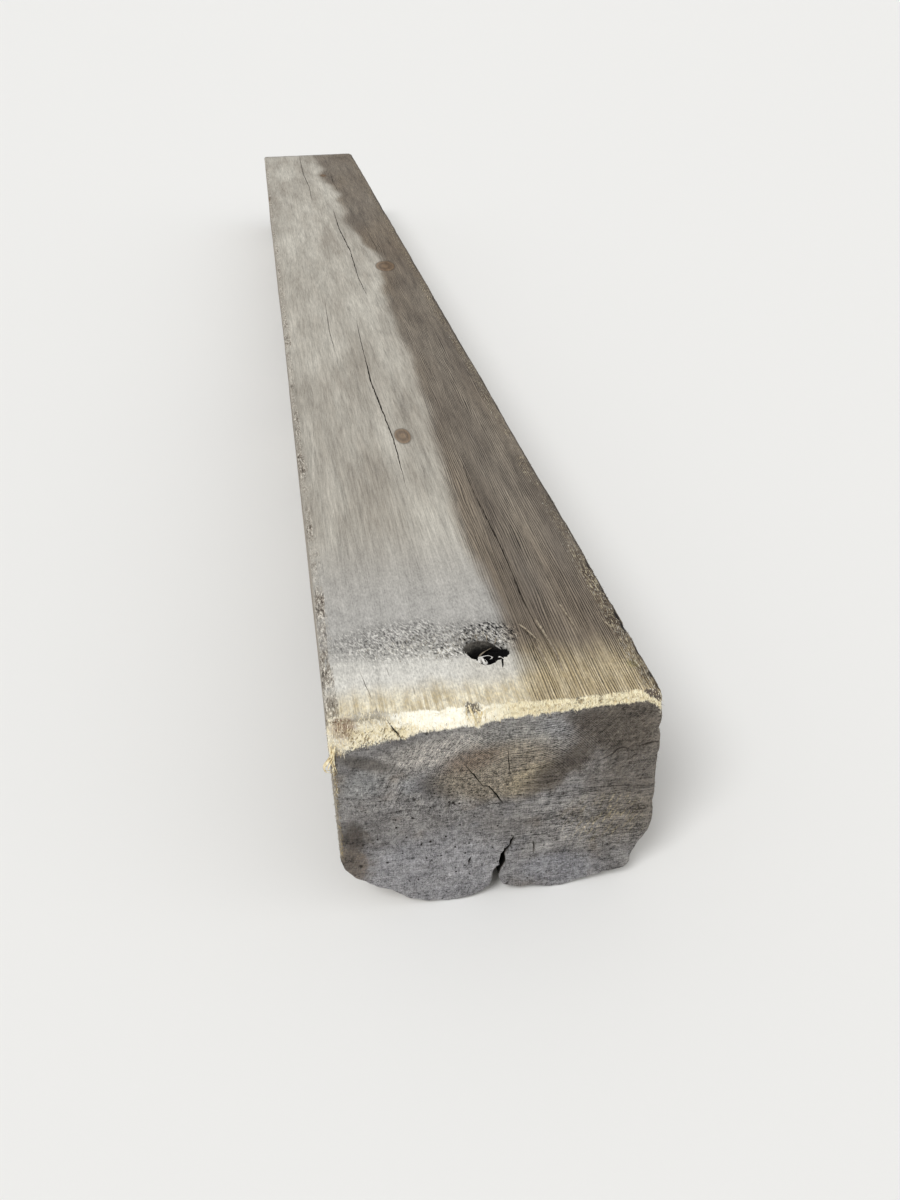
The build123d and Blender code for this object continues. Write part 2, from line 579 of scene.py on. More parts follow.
def leaned(point, across, up, along=1.0):
    """A point with a new X and a new Z, each from so much of the old X and so much of the old Z."""
    return node_output(
        point.socket.id_data, "ShaderNodeCombineXYZ",
        X=point.dot((across[0], 0, across[1])), Y=point.dot((0, along, 0)), Z=point.dot((up[0], 0, up[1])),
    )


def grain(point, size, stretch=1.0, detail=2.0, rough=0.5, shift=0.0):
    """Soft noise from about -0.5 to 0.5, of this size in mm and drawn out along the beam."""
    place = point.vector("DIVIDE", (size, size * stretch, size))
    if shift:
        place = place.vector("ADD", (shift, shift, 0))
    return node_output(
        point.socket.id_data, "ShaderNodeTexNoise",
        Vector=place, Scale=1.0, Detail=detail, Roughness=rough,
    ) - 0.5


def line_noise(place, detail):
    """Soft noise from 0 to 1 along one number."""
    return node_output(
        place.socket.id_data, "ShaderNodeTexNoise", 0, {"noise_dimensions": "1D"},
        W=place, Scale=1.0, Detail=detail,
    )


# Knots: distance from the bored end, the way the branch grew round the heart, and its thickness
knots = ((452, 101, 12), (905, 172, 17), (1165, 60, 17), (1490, 4, 19), (1790, 152, 15),
         (2060, 86, 11), (640, -8, 11))
knot_lean = 0.25
knot_widening, thinnest_knot = 0.0085, 0.6


def growth(point):
    """The growth ring at a point, counted from the heart, how much a knot is there, and how far
    out in the knot the point lies."""
    x, y, z = parts(point)
    bend = grain(point, 46, 9, 2, shift=3.1) * 9.0
    ripple = grain(point, 9, 16, 1, shift=7.7) * 0.9
    across, up = x - heart[0], z - heart[1]
    out = (across * across + up * up).math("SQRT")
    knot_all = nearest = None
    for distance, turn, size in knots:
        way = (math.cos(math.radians(turn)), math.sin(math.radians(turn)))
        reach = across * way[0] + up * way[1]
        aside = across * way[1] - up * way[0]
        along = y - (near_end + distance) - reach * knot_lean
        radius = ((reach * knot_widening).smaller(1.0) * size).larger(thinnest_knot)
        # the grain swings wide of a knot along the beam
        far = (aside * aside + along * along * 0.16).math("SQRT") / radius
        inside = far.smooth(1.15, 0.86) * reach.smooth(2, 12)
        bend = bend + (far * -0.55).math("EXPONENT") * reach.smooth(0, 40) * size * 0.55
        knot_all = inside if knot_all is None else knot_all.larger(inside)
        nearest = far if nearest is None else nearest.smaller(far)
    out = out + bend + ripple
    count = out / ring_width + out * out / 400.0 + line_noise(out / 13.0, 1.0) * 2.0
    return count, knot_all, nearest


def late_wood(count):
    """The hard, dark part of each ring: 1 at its crest."""
    share = count.math("FRACT")
    return share.smooth(0.25, 0.82) * share.smooth(1.0, 0.86)


def new_tree(name, **inputs):
    """An empty Geometry Nodes tree with these named inputs, what comes in by each, and its end node.
    An underscore in an input's name stands for a space."""
    tree = bpy.data.node_groups.new(name, "GeometryNodeTree")
    tree.interface.new_socket(name="Geometry", in_out="INPUT", socket_type="NodeSocketGeometry")
    for label, kind in inputs.items():
        tree.interface.new_socket(
            name=label.replace("_", " "), in_out="INPUT", socket_type="NodeSocket" + kind
        )
    tree.interface.new_socket(name="Geometry", in_out="OUTPUT", socket_type="NodeSocketGeometry")
    group_in = tree.nodes.new("NodeGroupInput")
    given = {output.name: Flow(output) for output in group_in.outputs if output.name}
    return tree, given, tree.nodes.new("NodeGroupOutput")


def end_tree(tree, geometry, material, group_out):
    """Realize Instances and Set Material, the last two nodes of every tree here."""
    real = node_output(tree, "GeometryNodeRealizeInstances", Geometry=geometry)
    finished = node_output(tree, "GeometryNodeSetMaterial", Geometry=real, Material=material)
    join(finished, group_out.inputs[0])


def run_tree(source, tree, values, name):
    """A new plain-mesh object with what the tree makes of the source object."""
    modifier = source.modifiers.new(tree.name, "NODES")
    modifier.node_group = tree
    for item in tree.interface.items_tree:
        if item.in_out == "INPUT" and item.name in values:
            modifier[item.identifier] = values[item.name]
    graph = bpy.context.evaluated_depsgraph_get()
    mesh = bpy.data.meshes.new_from_object(source.evaluated_get(graph))
    source.modifiers.remove(modifier)
    mesh.name = name
    made = bpy.data.objects.new(name, mesh)
    bpy.context.scene.collection.objects.link(made)
    return made


# Weathered wood: soft early wood worn away between the hard rings, a grey skin of loose fibres,
# cream where it is freshly broken, brown where it has stayed dry
def paint(red, green, blue):
    """A colour from its 0 to 255 screen values."""
    found = []
    for value in (red, green, blue):
        value /= 255
        found.append(value / 12.92 if value <= 0.04045 else ((value + 0.055) / 1.055) ** 2.4)
    return (*found, 1.0)


def mixed(low, high, share):
    """One colour over another, by this share."""
    node = share.socket.id_data.nodes.new("ShaderNodeMix")
    node.data_type = "RGBA"
    node.clamp_factor = True
    join(share, node.inputs[0])
    join(low, node.inputs[6])
    join(high, node.inputs[7])
    return Flow(node.outputs[2])


def lit(colour, gain):
    """A colour made lighter or darker by a number about 1."""
    node = gain.socket.id_data.nodes.new("ShaderNodeVectorMath")
    node.operation = "SCALE"
    join(colour if isinstance(colour, Flow) else colour[:3], node.inputs[0])
    join(gain, node.inputs["Scale"])
    return Flow(node.outputs[0])


def drifted(spot, noise, across, up):
    """A place on a face moved about by noise, so that what is laid out on it gets an uneven edge."""
    return noise.vector("MULTIPLY_ADD", (across, up, 0), spot)


def blob(spot, centre, radii, soft=0.35, turn=0.0):
    """1 inside an oval round a place on a face, fading over its edge."""
    away = spot.vector("SUBTRACT", (*centre, 0))
    c, s = math.cos(math.radians(turn)), math.sin(math.radians(turn))
    if turn:
        along, aside = away.dot((c / radii[0], s / radii[0], 0)), away.dot((-s / radii[1], c / radii[1], 0))
        away = node_output(spot.socket.id_data, "ShaderNodeCombineXYZ", X=along, Y=aside)
    else:
        away = away.vector("DIVIDE", (*radii, 1))
    return away.length().smooth(1 + soft, 1 - soft)


wood = bpy.data.materials.new("weathered_wood")
wood.use_nodes = True
tree = wood.node_tree
shader = tree.nodes["Principled BSDF"]
point = in_mm(node_output(tree, "ShaderNodeTexCoord", "Object"))
x, y, z = parts(point)
u, v, w = x + half_width, y - near_end, height - z
top_spot = node_output(tree, "ShaderNodeCombineXYZ", X=u, Y=v)
end_spot = node_output(tree, "ShaderNodeCombineXYZ", X=u, Y=w)
count, knot, knot_far = growth(point)
late = late_wood(count)
ring_share = count.math("FRACT")
ring_line = ring_share.smooth(0.74, 0.88) * ring_share.smooth(1.0, 0.93)
ring_ridge = ring_share.smooth(0.42, 0.70) * ring_share.smooth(0.86, 0.74)
fresh, hollow, end_share = [
    node_output(tree, "ShaderNodeAttribute", "Fac", {"attribute_name": name})
    for name in ("fresh", "hollow", "end_share")
]
fibre = grain(point, 0.75, 34, 3, 0.6)
strand = grain(point, 2.6, 26, 3, 0.55, 1.7)
streak = grain(point, 11, 18, 2, 0.5, 4.2)
cloud = grain(point, 30, 7, 4, 0.62, 9.4)
field = grain(point, 95, 5, 2, 0.5, 12.1)
speck = grain(point, 1.3, 3, 2, 0.7, 15.0)
blotch_top = grain(point, 9, 1.6, 3, 0.6, 17.0)

# Long faces: pale grey on the left of the top, brown with raised rings on the right
drift = grain(squeezed(point, 0.3, 0.3), 260, 1.6, 2, 0.5, 13.3) * v.smooth(160, 700)
right_part = (x + cloud * 26 + field * 20 + drift * 190).smooth(14, 33)
pale_left = 1.0 - right_part
top_face = w.smooth(14, 5)
near_part = v.smooth(300, 110)
grey = mixed(paint(150, 144, 134), paint(186, 182, 172), cloud * 2.6 + field * 2.0 + 0.5)
bands = grain(squeezed(point, 0.12, 1.0), 6.0, 0.8, 2, 0.5, 20.5) * v.smooth(130, 60)
near_pale = (v + cloud * 30 + bands * 30 + streak * 14).smooth(92, 50)
grey = mixed(grey, mixed(paint(168, 166, 162), paint(206, 204, 197), near_pale), near_part)
brown = mixed(paint(100, 89, 78), paint(142, 129, 112), cloud * 2.0 + strand * 0.4 + field + 0.42)
side_colour = mixed(paint(128, 120, 110), paint(166, 159, 148), cloud * 2.6 + field * 2.0 + 0.5)
long_colour = mixed(grey, brown, right_part * (0.85 + field))
long_colour = mixed(side_colour, long_colour, top_face)
ring_show = right_part * 0.75 + (field * 1.2 + 0.32) * (1.0 - near_part * 0.8)
calm = near_part * pale_left * top_face
long_gain = (
    1.06 - right_part * 0.11
    + (fibre * 1.3 + strand * (0.85 - right_part * 0.60)) * (1.0 - calm * 0.82)
    + streak * (0.35 - right_part * 0.25)
    - late * ring_show * 0.12 + (ring_ridge * 0.10 - ring_line * 0.16) * ring_show + speck * 0.45
)

# Reeds: the fine ridges that the rings make on the right of the top
reed_width = 1.75
reed_patch = grain(point, 7, 12, 2, 0.5, 2.9)
reed = ((x + grain(point, 16, 12, 2, 0.5, 2.3) * 9.0 + strand * 1.4) / reed_width).math("FRACT")
reed_light = reed.smooth(0.12, 0.34) * reed.smooth(0.62, 0.40)
reed_dark = reed.smooth(0.60, 0.78) * reed.smooth(1.0, 0.88)
reed = (reed_light * 0.32 - reed_dark * 0.50) * (0.9 + reed_patch * 3.0).larger(0.15)
long_gain = long_gain + reed * right_part

# Torn flecks left of the hole and behind it, and crumbs right beside it; painted shade behind the hole, and
# painted shadow between the flecks
fleck = grain(node_output(tree, "ShaderNodeCombineXYZ", X=x + y * 0.25, Y=y, Z=z), 1.6, 2.2, 3, 0.6, 18.0)
fleck_zone = blob(drifted(top_spot, cloud, 24, 24), (64, 92), (58, 26), 0.5)
fleck_zone = fleck_zone.larger(blob(drifted(top_spot, cloud, 8, 8), (91, 75), (14, 11), 0.4) * 1.5)
fleck_zone = fleck_zone.larger(blob(top_spot, (121, 88), (22, 16), 0.35) * 2.4) * top_face
# painted shade behind the hole
painted_shade_behind_hole = blob(drifted(top_spot, cloud, 8, 8), (122, 98), (20, 12), 0.6) * top_face
fleck_share = fleck_zone.smaller(1.0)
fleck_light = (fleck + fleck_share * 0.08).smooth(0.10, 0.155)
# the dark between the flecks: painted shadow of the raised fibres
fleck_painted_shadow = (fleck_share * 0.10 - fleck).smooth(0.16, 0.22)
fleck_tone_and_shadow = (fleck_light * 0.86 - fleck_painted_shadow * 0.62) * fleck_zone.smaller(1.9)
long_gain = long_gain + fleck_tone_and_shadow - painted_shade_behind_hole * 0.22
long_gain = long_gain + (speck * 1.2 + blotch_top + fibre * 0.5) * calm * 0.6

# Cream behind the broken upper edge, a little moss at the right, and a pale ring round the hole
front_cream = (v * (1.0 - right_part * 0.46) + cloud * 22 + streak * 12 + right_part * 2).smooth(47, 16)
cream_tone = strand * 2.6 + fibre * 1.6 + blotch_top * 2.0 + 0.45
cream_tint = mixed(paint(186, 170, 134), paint(224, 216, 192), cream_tone)
cream_tint = mixed(cream_tint, paint(208, 188, 148), right_part * 0.6)
long_colour = mixed(long_colour, cream_tint, front_cream * top_face * (0.85 - right_part * 0.10 + speck))
moss_spot = node_output(tree, "ShaderNodeCombineXYZ", X=u + strand * 12, Y=v + cloud * 10)
moss = blob(moss_spot, (213.5, 34), (4.5, 5), 0.6) * top_face
long_colour = mixed(long_colour, paint(150, 148, 84), moss * 0.5)
halo_spot = node_output(tree, "ShaderNodeCombineXYZ", X=u + streak * 12, Y=v + cloud * 12)
halo = blob(halo_spot, (120, 47), (24, 15), 0.5) * top_face
long_colour = mixed(long_colour, paint(190, 186, 176), halo * 0.55)

# Worn upper arrises, gouged and rough
rough_right = (u + strand * 16 + cloud * 14).smooth(209, 215) * top_face
rough_left = (u - strand * 16 - cloud * 12).smooth(7.8, 4.5) * top_face
edge_patch = grain(squeezed(point, 0.2, 0.2), 14, 2.2, 2, 0.6, 20.0)
left_fade = v.smooth(58, 38) * 0.35 + v.smooth(105, 200) * 0.35
edge_show = rough_right * (near_part * 0.45 + 0.35 + edge_patch * 2.4 - v.smooth(45, 15) * 0.3)
edge_show = edge_show + rough_left * (0.80 + edge_patch * 3.0 - left_fade)
edge_show = edge_show.larger(0.0).smaller(1.0)
gouge = grain(point, 2.0, 4.6, 3, 0.65, 19.0)
edge_dirt = paint(66, 56, 46)
edge_colour = mixed(paint(108, 95, 80), paint(204, 192, 164), (gouge + speck * 0.8).smooth(0.02, 0.14))
edge_colour = mixed(edge_colour, edge_dirt, (gouge + speck * 0.6).smooth(-0.05, -0.16))
left_edge = mixed(paint(140, 131, 120), paint(222, 216, 204), (gouge + speck).smooth(0.02, 0.13))
left_edge = mixed(left_edge, edge_dirt, (gouge + speck * 0.8).smooth(-0.07, -0.16))
edge_colour = mixed(edge_colour, left_edge, u.smooth(60, 40))
long_colour = lit(mixed(long_colour, edge_colour, edge_show * 0.9), long_gain)

# End grain: grey, fuzzy, with saw scratches, pits and stains
scratch = grain(leaned(point, (0.86, -0.5), (0.055, 0.0946)), 0.85, 20, 2, 0.6, 21.0)
fuzz = grain(point, 0.8, 6, 3, 0.75, 24.0)
weave = grain(squeezed(point, 0.28, 1.0), 0.85, 6, 3, 0.7, 24.7)
lint = grain(squeezed(point, 0.8, 0.9), 1.5, 6, 3, 0.7, 25.0)
arc_mark = grain(leaned(point, (0.906, -0.42), (0.042, 0.0906)), 1.5, 20, 2, 0.5, 21.6)
saw = grain(leaned(point, (0.05, 0), (0.03, 1.0)), 0.75, 30, 2, 0.5, 27.0)
saw_wide = grain(leaned(point, (0.05, 0), (0.04, 1.0)), 2.6, 30, 2, 0.5, 28.0)
upright = grain(squeezed(point, 1.0, 0.14), 0.9, 20, 2, 0.6, 22.5)
rising = grain(leaned(point, (0.75, -0.75), (0.09, 0.09)), 0.85, 20, 2, 0.65, 23.1)
falling = grain(leaned(point, (0.75, 0.75), (-0.11, 0.11)), 0.85, 20, 2, 0.65, 23.7)
crossed = rising.smooth(0.05, 0.14) + falling.smooth(0.06, 0.15) - rising.smooth(-0.07, -0.16) * 0.7
ray_turn = (z - heart[1]).math("ARCTAN2", x - heart[0])
ray = line_noise(ray_turn * 34.0, 2.0) - 0.5
blotch = grain(point, 13, 6, 3, 0.6, 30.0)
mottle = grain(point, 4.5, 6, 2, 0.6, 31.5)
end_cloud = grain(point, 42, 6, 3, 0.55, 33.0)
hue = grain(point, 20, 6, 2, 0.5, 34.0)
break_up = 1.0 + fuzz * 1.4 + lint * 1.2
brown_heart = blob(drifted(end_spot, blotch, 9, 9), (114, 53), (43, 25), 0.35, -4) * w.smooth(86, 74)
# painted shadow over the upper right of the end: a soft patch and a slanting band
painted_shadow_right = blob(drifted(end_spot, blotch, 10, 6), (203, 27), (46, 22), 0.4, 8)
painted_shadow_band = blob(drifted(end_spot, blotch, 10, 8), (158, 54), (36, 11), 0.6, -42)
# the right part of the end made darker: painted shade
right_side = u.smooth(150, 200) * w.smooth(150, 110)
end_colour = mixed(paint(134, 131, 129), paint(165, 162, 159), end_cloud * 2.6 + blotch * 1.6 + 0.45)
end_colour = mixed(end_colour, paint(134, 121, 106), hue.smooth(0.04, 0.26) * 0.5)
end_colour = mixed(end_colour, paint(138, 140, 146), hue.smooth(-0.04, -0.26) * 0.45)

# What lies on the end grain: stains that the weather laid, painted shadow over its upper right, and painted
# shade over its right part and below its broken upper-left corner. Each tone has its colour, its strength and
# its place: a zone made above, or how far its edge drifts across and down, its centre from the left and the
# top, its radii, softness and turn.
for tone, strength, zone in (
    ((156, 157, 156), 0.50, (12, 12, (18, 50), (12, 12), 0.6, 0)),
    ((156, 158, 160), 0.50, (10, 10, (51, 56), (6, 6), 0.7, 0)),
    ((164, 162, 157), 0.70, (10, 8, (118, 25), (52, 13), 0.6, -3)),
    ((196, 190, 182), 0.75, (0, 0, (66, 30), (34, 11), 0.6, -10)),
    # painted shade below the broken upper-left corner
    ((102, 97, 91), 0.75, (8, 6, (22, 33), (23, 5), 0.5, 22)),
    ((96, 93, 92), 0.90, (8, 6, (72, 60), (17, 10), 0.6, 10)),
    ((106, 103, 104), 0.90, (0, 6, (86, 161), (34, 6), 0.6, 0)),
    ((122, 117, 112), 0.35, (10, 8, (130, 105), (32, 14), 0.6, 0)),
    ((148, 138, 122), 0.85, brown_heart),
    ((170, 157, 130), 0.60, (10, 9, (137, 64), (20, 12), 0.5, -20)),
    ((122, 98, 82), 0.40, (8, 8, (94, 40), (19, 9), 0.6, -12)),
    # painted shadow over the upper right of the end
    ((98, 91, 84), 0.90, painted_shadow_right.larger(painted_shadow_band)),
    ((162, 162, 164), 0.50, (10, 8, (151, 20), (13, 7), 0.6, 30)),
    ((82, 75, 70), 0.60, (10, 8, (171, 17), (11, 8), 0.6, 20)),
    # painted shade over the right part of the end
    ((108, 100, 90), 0.72, right_side),
    ((168, 167, 170), 0.75, (10, 0, (60, 140), (62, 36), 0.4, 0)),
    ((150, 150, 155), 0.70, (16, 14, (158, 153), (30, 16), 0.4, 6)),
):
    if not isinstance(zone, Flow):
        across, up, *oval = zone
        zone = blob(drifted(end_spot, blotch, across, up), *oval)
    end_colour = mixed(end_colour, paint(*tone), zone * strength * break_up)
yellow_scratch = blob(end_spot, (190, 108), (30, 22), 0.5) * scratch.smooth(0.02, 0.14)
end_colour = mixed(end_colour, paint(176, 163, 130), yellow_scratch * 0.55)
stain_spot = drifted(end_spot, mottle, 10, 0)
brown_stain = blob(drifted(stain_spot, blotch, -24, 30), (9, 121), (11, 22), 0.5)
end_colour = mixed(end_colour, paint(118, 107, 95), brown_stain * 0.8 * break_up)
stain = blob(drifted(stain_spot, blotch, -26, 30), (11, 95), (11, 12), 0.6)
end_colour = mixed(end_colour, paint(84, 77, 71), stain * 0.85 * break_up)

# Where the saw's arcs, scratches and rings show, and where the end is roughest
arc_zone = blob(drifted(end_spot, blotch, 6, 8), (39, 59), (9, 17), 0.6)
scratch_zone = blob(drifted(end_spot, blotch, 10, 8), (68, 30), (30, 15), 0.6) * 0.30
cross_zone = u.smooth(130, 165) * w.smooth(86, 62)
saw_zone = (0.35 + u.smooth(95, 150) * 0.65 * w.smooth(150, 120)) * (1.0 - cross_zone * 0.5)
ring_zone = 0.07 + blob(drifted(end_spot, blotch, 16, 16), (132, 32), (60, 26), 0.5) * 0.66
weave_show = 0.45 + u.smooth(60, 130) * 0.45 - cross_zone * 0.3
rough_end = 0.60
for centre, radii, strength in (
    ((66, 66), (52, 26), 0.40), ((112, 52), (46, 28), 0.25), ((192, 106), (42, 24), 0.40),
):
    rough_end = blob(end_spot, centre, radii, 0.5) * strength + rough_end
rough_end = rough_end.smaller(1.15)
end_gain = (
    1.08 + (fuzz * 5.0 + weave * 4.6 * weave_show + lint * 2.9) * rough_end
    + mottle * 1.1 + blotch + (saw * 2.6 + saw_wide * 1.1) * saw_zone + ray * 0.4
    + (arc_mark.smooth(0.02, 0.12) * 0.42 - arc_mark.smooth(-0.02, -0.12) * 0.62) * arc_zone
    - late * ring_zone + ring_zone * 0.4 + scratch * scratch_zone * 5.5 + scratch * 0.5 + upright * 1.1
    + (crossed - 0.22) * (cross_zone * 0.46 + 0.05)
)
end_colour = lit(end_colour, end_gain.larger(0.22))
right_rim = u.smooth(215, 224) * (0.30 + lint * 3.0 + fuzz * 1.5)
end_colour = mixed(end_colour, paint(172, 164, 153), right_rim)
end_colour = mixed(end_colour, paint(188, 184, 174), lint.smooth(0.13, 0.25) * 0.4)


def dots(size, radius, share, shift):
    """Small round pits scattered on the end, this share of the cells having one."""
    place = point.vector("DIVIDE", (size, 400, size)).vector("ADD", (shift, 0, shift * 0.7))
    cells = tree.nodes.new("ShaderNodeTexVoronoi")
    join(place, cells.inputs["Vector"])
    cells.inputs["Scale"].default_value = 1.0
    pick = node_output(tree, "ShaderNodeSeparateColor", 0, Color=Flow(cells.outputs["Color"]))
    near = Flow(cells.outputs["Distance"]) + fuzz * 0.2
    return near.smooth(radius, radius * 0.5) * pick.smooth(1 - share, 1 - share + 0.02)


pit_zone = 0.45 + blob(end_spot, (74, 108), (70, 55), 0.5) * 0.55
pits = dots(3.4, 0.30, 0.20, 3.3).larger(dots(9.5, 0.17, 0.40, 8.1)) * pit_zone
end_colour = mixed(end_colour, paint(40, 34, 30), pits * 0.95)

# Freshly broken wood along the upper edge: threads, crumbs and gaps, older and browner at its ends
thread = grain(squeezed(point, 1.0, 0.3), 0.8, 12, 2, 0.7, 36.0)
crumb = grain(point, 2.4, 1.4, 3, 0.65, 39.0)
torn_slant = grain(leaned(point, (0.8, -0.6), (0.24, 0.32)), 1.2, 3, 2, 0.6, 38.0)
torn_tone = cloud * 0.8 + thread * (2.4 + u.smooth(110, 170) * 2.0) + crumb * 1.2 + 0.60
torn_tone = torn_tone + blob(end_spot, (76, 4), (34, 6), 0.5) * 0.35
bright_fresh = mixed(paint(255, 252, 238), paint(253, 245, 213), u.smooth(95, 130))
thread_gap = (thread + crumb * 0.5).smooth(-0.03, -0.15) * u.smooth(108, 150)
chip_zone = u.smooth(45, 34)
old_break = blob(drifted(end_spot, crumb, 12, 12), (10, 7), (8, 7), 0.5)
side_break = u.smooth(14, 4) * w.smooth(14, 26) * (u + crumb * 3).smooth(0.6, 1.8)
right_corner = ((u + crumb * 5 - 208.5) * 0.8 - w).smooth(-0.4, 1.2) * u.smooth(208, 212)
dull_side = u.smooth(8, 3) * w.smooth(38, 52)
under_break = u.smooth(62, 44) * u.smooth(8, 16) * w.smooth(6, 10)
pitted = (torn_slant + crumb * 0.8).smooth(0.03, 0.14) * (under_break * 0.9 + old_break * 0.6)
slant_gap = (torn_slant + crumb * 0.5).smooth(0.05, 0.15) * u.smooth(112, 145)
few_pits = (crumb + thread * 0.6 + u.smooth(110, 170) * 0.02).smooth(0.17, 0.25)
notch_dirt = blob(drifted(end_spot, crumb, 10, 9), (95, 2.2), (5.4, 3.6), 0.3)
shelf = chip_zone * (w + crumb * 4).smooth(6.0, 4.6) * (u + crumb * 10).smooth(13, 19)
fresh_colour = mixed(paint(236, 220, 180), bright_fresh, torn_tone)
for tone, share in (
    (paint(168, 142, 98), thread_gap * 0.45),
    (paint(148, 122, 102), old_break * (0.75 + thread * 2.0)),
    (lit(paint(104, 94, 86), 1.0 + thread * 2.4), right_corner),
    (paint(128, 108, 78), side_break * (0.85 + thread * 2.0)),
    (paint(150, 136, 106), dull_side * (0.6 + thread * 2.5)),
    (paint(246, 233, 192), under_break * (0.5 + torn_slant * 2.0)),
    (paint(108, 84, 52), pitted * 0.85),
    (paint(146, 118, 78), slant_gap * 0.45),
    (paint(132, 112, 80), few_pits * 0.7),
    (paint(70, 58, 44), notch_dirt * 0.85),
    (lit(paint(158, 152, 142), 1.0 + fuzz * 1.4 + thread * 1.5), shelf * 0.7),
):
    fresh_colour = mixed(fresh_colour, tone, share)
fringe = 0.5 + chip_zone * 1.6
fresh_show = (fresh + (fuzz * 4.0 + thread * 6.0) * fringe + lint * 3.0).smooth(-0.7, 0.9)

# Knots, and the dark inside checks, the split and the hole: dirt and painted shade in the checks and the
# split, painted shade down the hole
knot_rings = (knot_far * 9.0).math("SINE") * 0.5 + 0.5
knot_colour = mixed(paint(88, 68, 50), paint(138, 114, 88), knot_rings * 0.7 + blotch + fibre)
knot_colour = mixed(knot_colour, paint(60, 47, 37), knot_far.smooth(0.86, 1.0))
colour = mixed(long_colour, knot_colour, knot * (1.0 - end_share) * 0.8)
colour = mixed(colour, end_colour, end_share)
colour = mixed(colour, fresh_colour, fresh_show)
# inside the checks and the split: their dirt and painted shade, darker the deeper
shade_and_dirt_colour = mixed(paint(50, 43, 37), paint(7, 6, 5), hollow.smooth(0.5, 3.2))
# down the hole: painted shade, darker the deeper and darker on its right half
bore_side = hollow.smooth(0.2, 1.5) * blob(top_spot, (117, 68), (24, 26), 0.1)
band = grain(leaned(point, (0.3, 0), (0.5, 1.0), 0.3), 2.2, 1, 2, 0.6, 42.0)
bore_shade_share = (hollow + u.smooth(117, 130) * 7.0).smooth(0.2, 9.5)
bore_shade_colour = lit(mixed(paint(112, 108, 101), paint(8, 7, 6), bore_shade_share), 1.0 + fuzz * 1.2 + band * 2.6)
shade_and_dirt_colour = mixed(shade_and_dirt_colour, bore_shade_colour, bore_side)
colour = mixed(colour, shade_and_dirt_colour, hollow.smooth(0.25, 2.0))
join(colour, shader.inputs["Base Color"])
rough = 0.86 + fibre * 0.12 - late * 0.05 + end_share * 0.06
join(rough.smaller(1.0), shader.inputs["Roughness"])
shader.inputs["Specular IOR Level"].default_value = 0.22

# Fine relief, in millimetres
long_relief = (
    reed * right_part * 0.8 + (fibre * 0.55 + strand * 0.40) * (1.0 - calm * 0.5)
    + edge_show * (speck * 1.4 + gouge * 3.0) + fleck * fleck_zone * 4.2 + speck * 0.35
)
end_relief = (
    fuzz * 2.6 + weave * 1.6 + lint * 1.8 + arc_mark * arc_zone * 3.0 + saw * saw_zone * 1.4
    + scratch * (0.35 + scratch_zone * 2.6) + upright * 0.5 - pits * 1.4
)
fresh_relief = (crumb * 2.6 + thread * 1.6) * (1.0 - blob(end_spot, (75, 4), (30, 8), 0.4) * 0.6)
relief = long_relief * (1.0 - end_share) + end_relief * end_share
relief = relief * (1.0 - fresh_show) + fresh_relief * fresh_show
bump = node_output(tree, "ShaderNodeBump", "Normal", None, Strength=1.0, Distance=0.001, Height=relief)
join(bump, shader.inputs["Normal"])

# Relief that the mesh itself carries: rings and strands along the beam, saw marks on its ends
tree, given, group_out = new_tree(
    "weathering", Ring_Relief="Float", Strand_Relief="Float", Saw_Relief="Float",
    Broken_Relief="Float", Material="Material",
)
point = in_mm(node_output(tree, "GeometryNodeInputPosition"))
count, knot, _ = growth(point)
ends = stored_number(tree, "end_share")
torn = stored_number(tree, "fresh").smooth(0, 1)
right_part = (parts(point)[0] + grain(point, 30, 7, 4, 0.62, 9.4) * 26).smooth(14, 33)
strands = grain(point, 4.5, 22, 2, 0.5, 5.5) * given["Strand Relief"]
waves = grain(point, 28, 6, 2, 0.5, 6.5) * given["Strand Relief"] * 2.0
along = late_wood(count) * (0.3 + right_part * 0.7) * given["Ring Relief"] + strands + waves + knot * 0.5
across = grain(leaned(point, (0.06, 0), (0.03, 1.0)), 3.0, 30, 2, 0.5, 27.0)
across = across + grain(point, 2.6, 9, 2, 0.6, 28.0) * 0.8 + grain(point, 16, 9, 2, 0.5, 29.0) * 1.4
across = across * given["Saw Relief"]
broken = grain(point, 1.9, 4, 2, 0.6, 31.0) * given["Broken Relief"]
height_mm = (along * (1.0 - ends) + across * ends) * (1.0 - torn) + broken * torn
push = lit(node_output(tree, "GeometryNodeInputNormal"), height_mm * 0.001)
moved = node_output(tree, "GeometryNodeSetPosition", Geometry=given["Geometry"], Offset=push)
end_tree(tree, moved, given["Material"], group_out)
beam = run_tree(
    blank, tree,
    {"Ring Relief": 0.26, "Strand Relief": 0.7, "Saw Relief": 0.8, "Broken Relief": 1.6, "Material": wood},
    "sawn_beam",
)
bpy.data.objects.remove(blank)

# Checks: thin wedges that open where the wood has dried, each along its own path
check_tree, given, group_out = new_tree(
    "open_check", Width="Float", Depth="Float", Step="Float", Wander="Float", Seed="Int",
    Material="Material",
)
path = node_output(
    check_tree, "GeometryNodeResampleCurve", 0, {"mode": "LENGTH"},
    Curve=given["Geometry"], Length=given["Step"] * 0.001,
)
path_x, path_y, _ = parts(in_mm(node_output(check_tree, "GeometryNodeInputPosition")))
seed_shift = given["Seed"] * 17.3
jog_size, gape_size = 5.0, 9.0
share = node_output(check_tree, "GeometryNodeSplineParameter")
taper = (share * math.pi).math("SINE").larger(0.0).math("POWER", 0.6)


def shaken(shift, size):
    """Soft noise along the path of a check, of this size in mm."""
    place = node_output(
        check_tree, "ShaderNodeCombineXYZ", X=path_x / size, Y=path_y / size, Z=seed_shift + shift
    )
    return node_output(check_tree, "ShaderNodeTexNoise", Vector=place, Scale=1.0, Detail=2.0) - 0.5


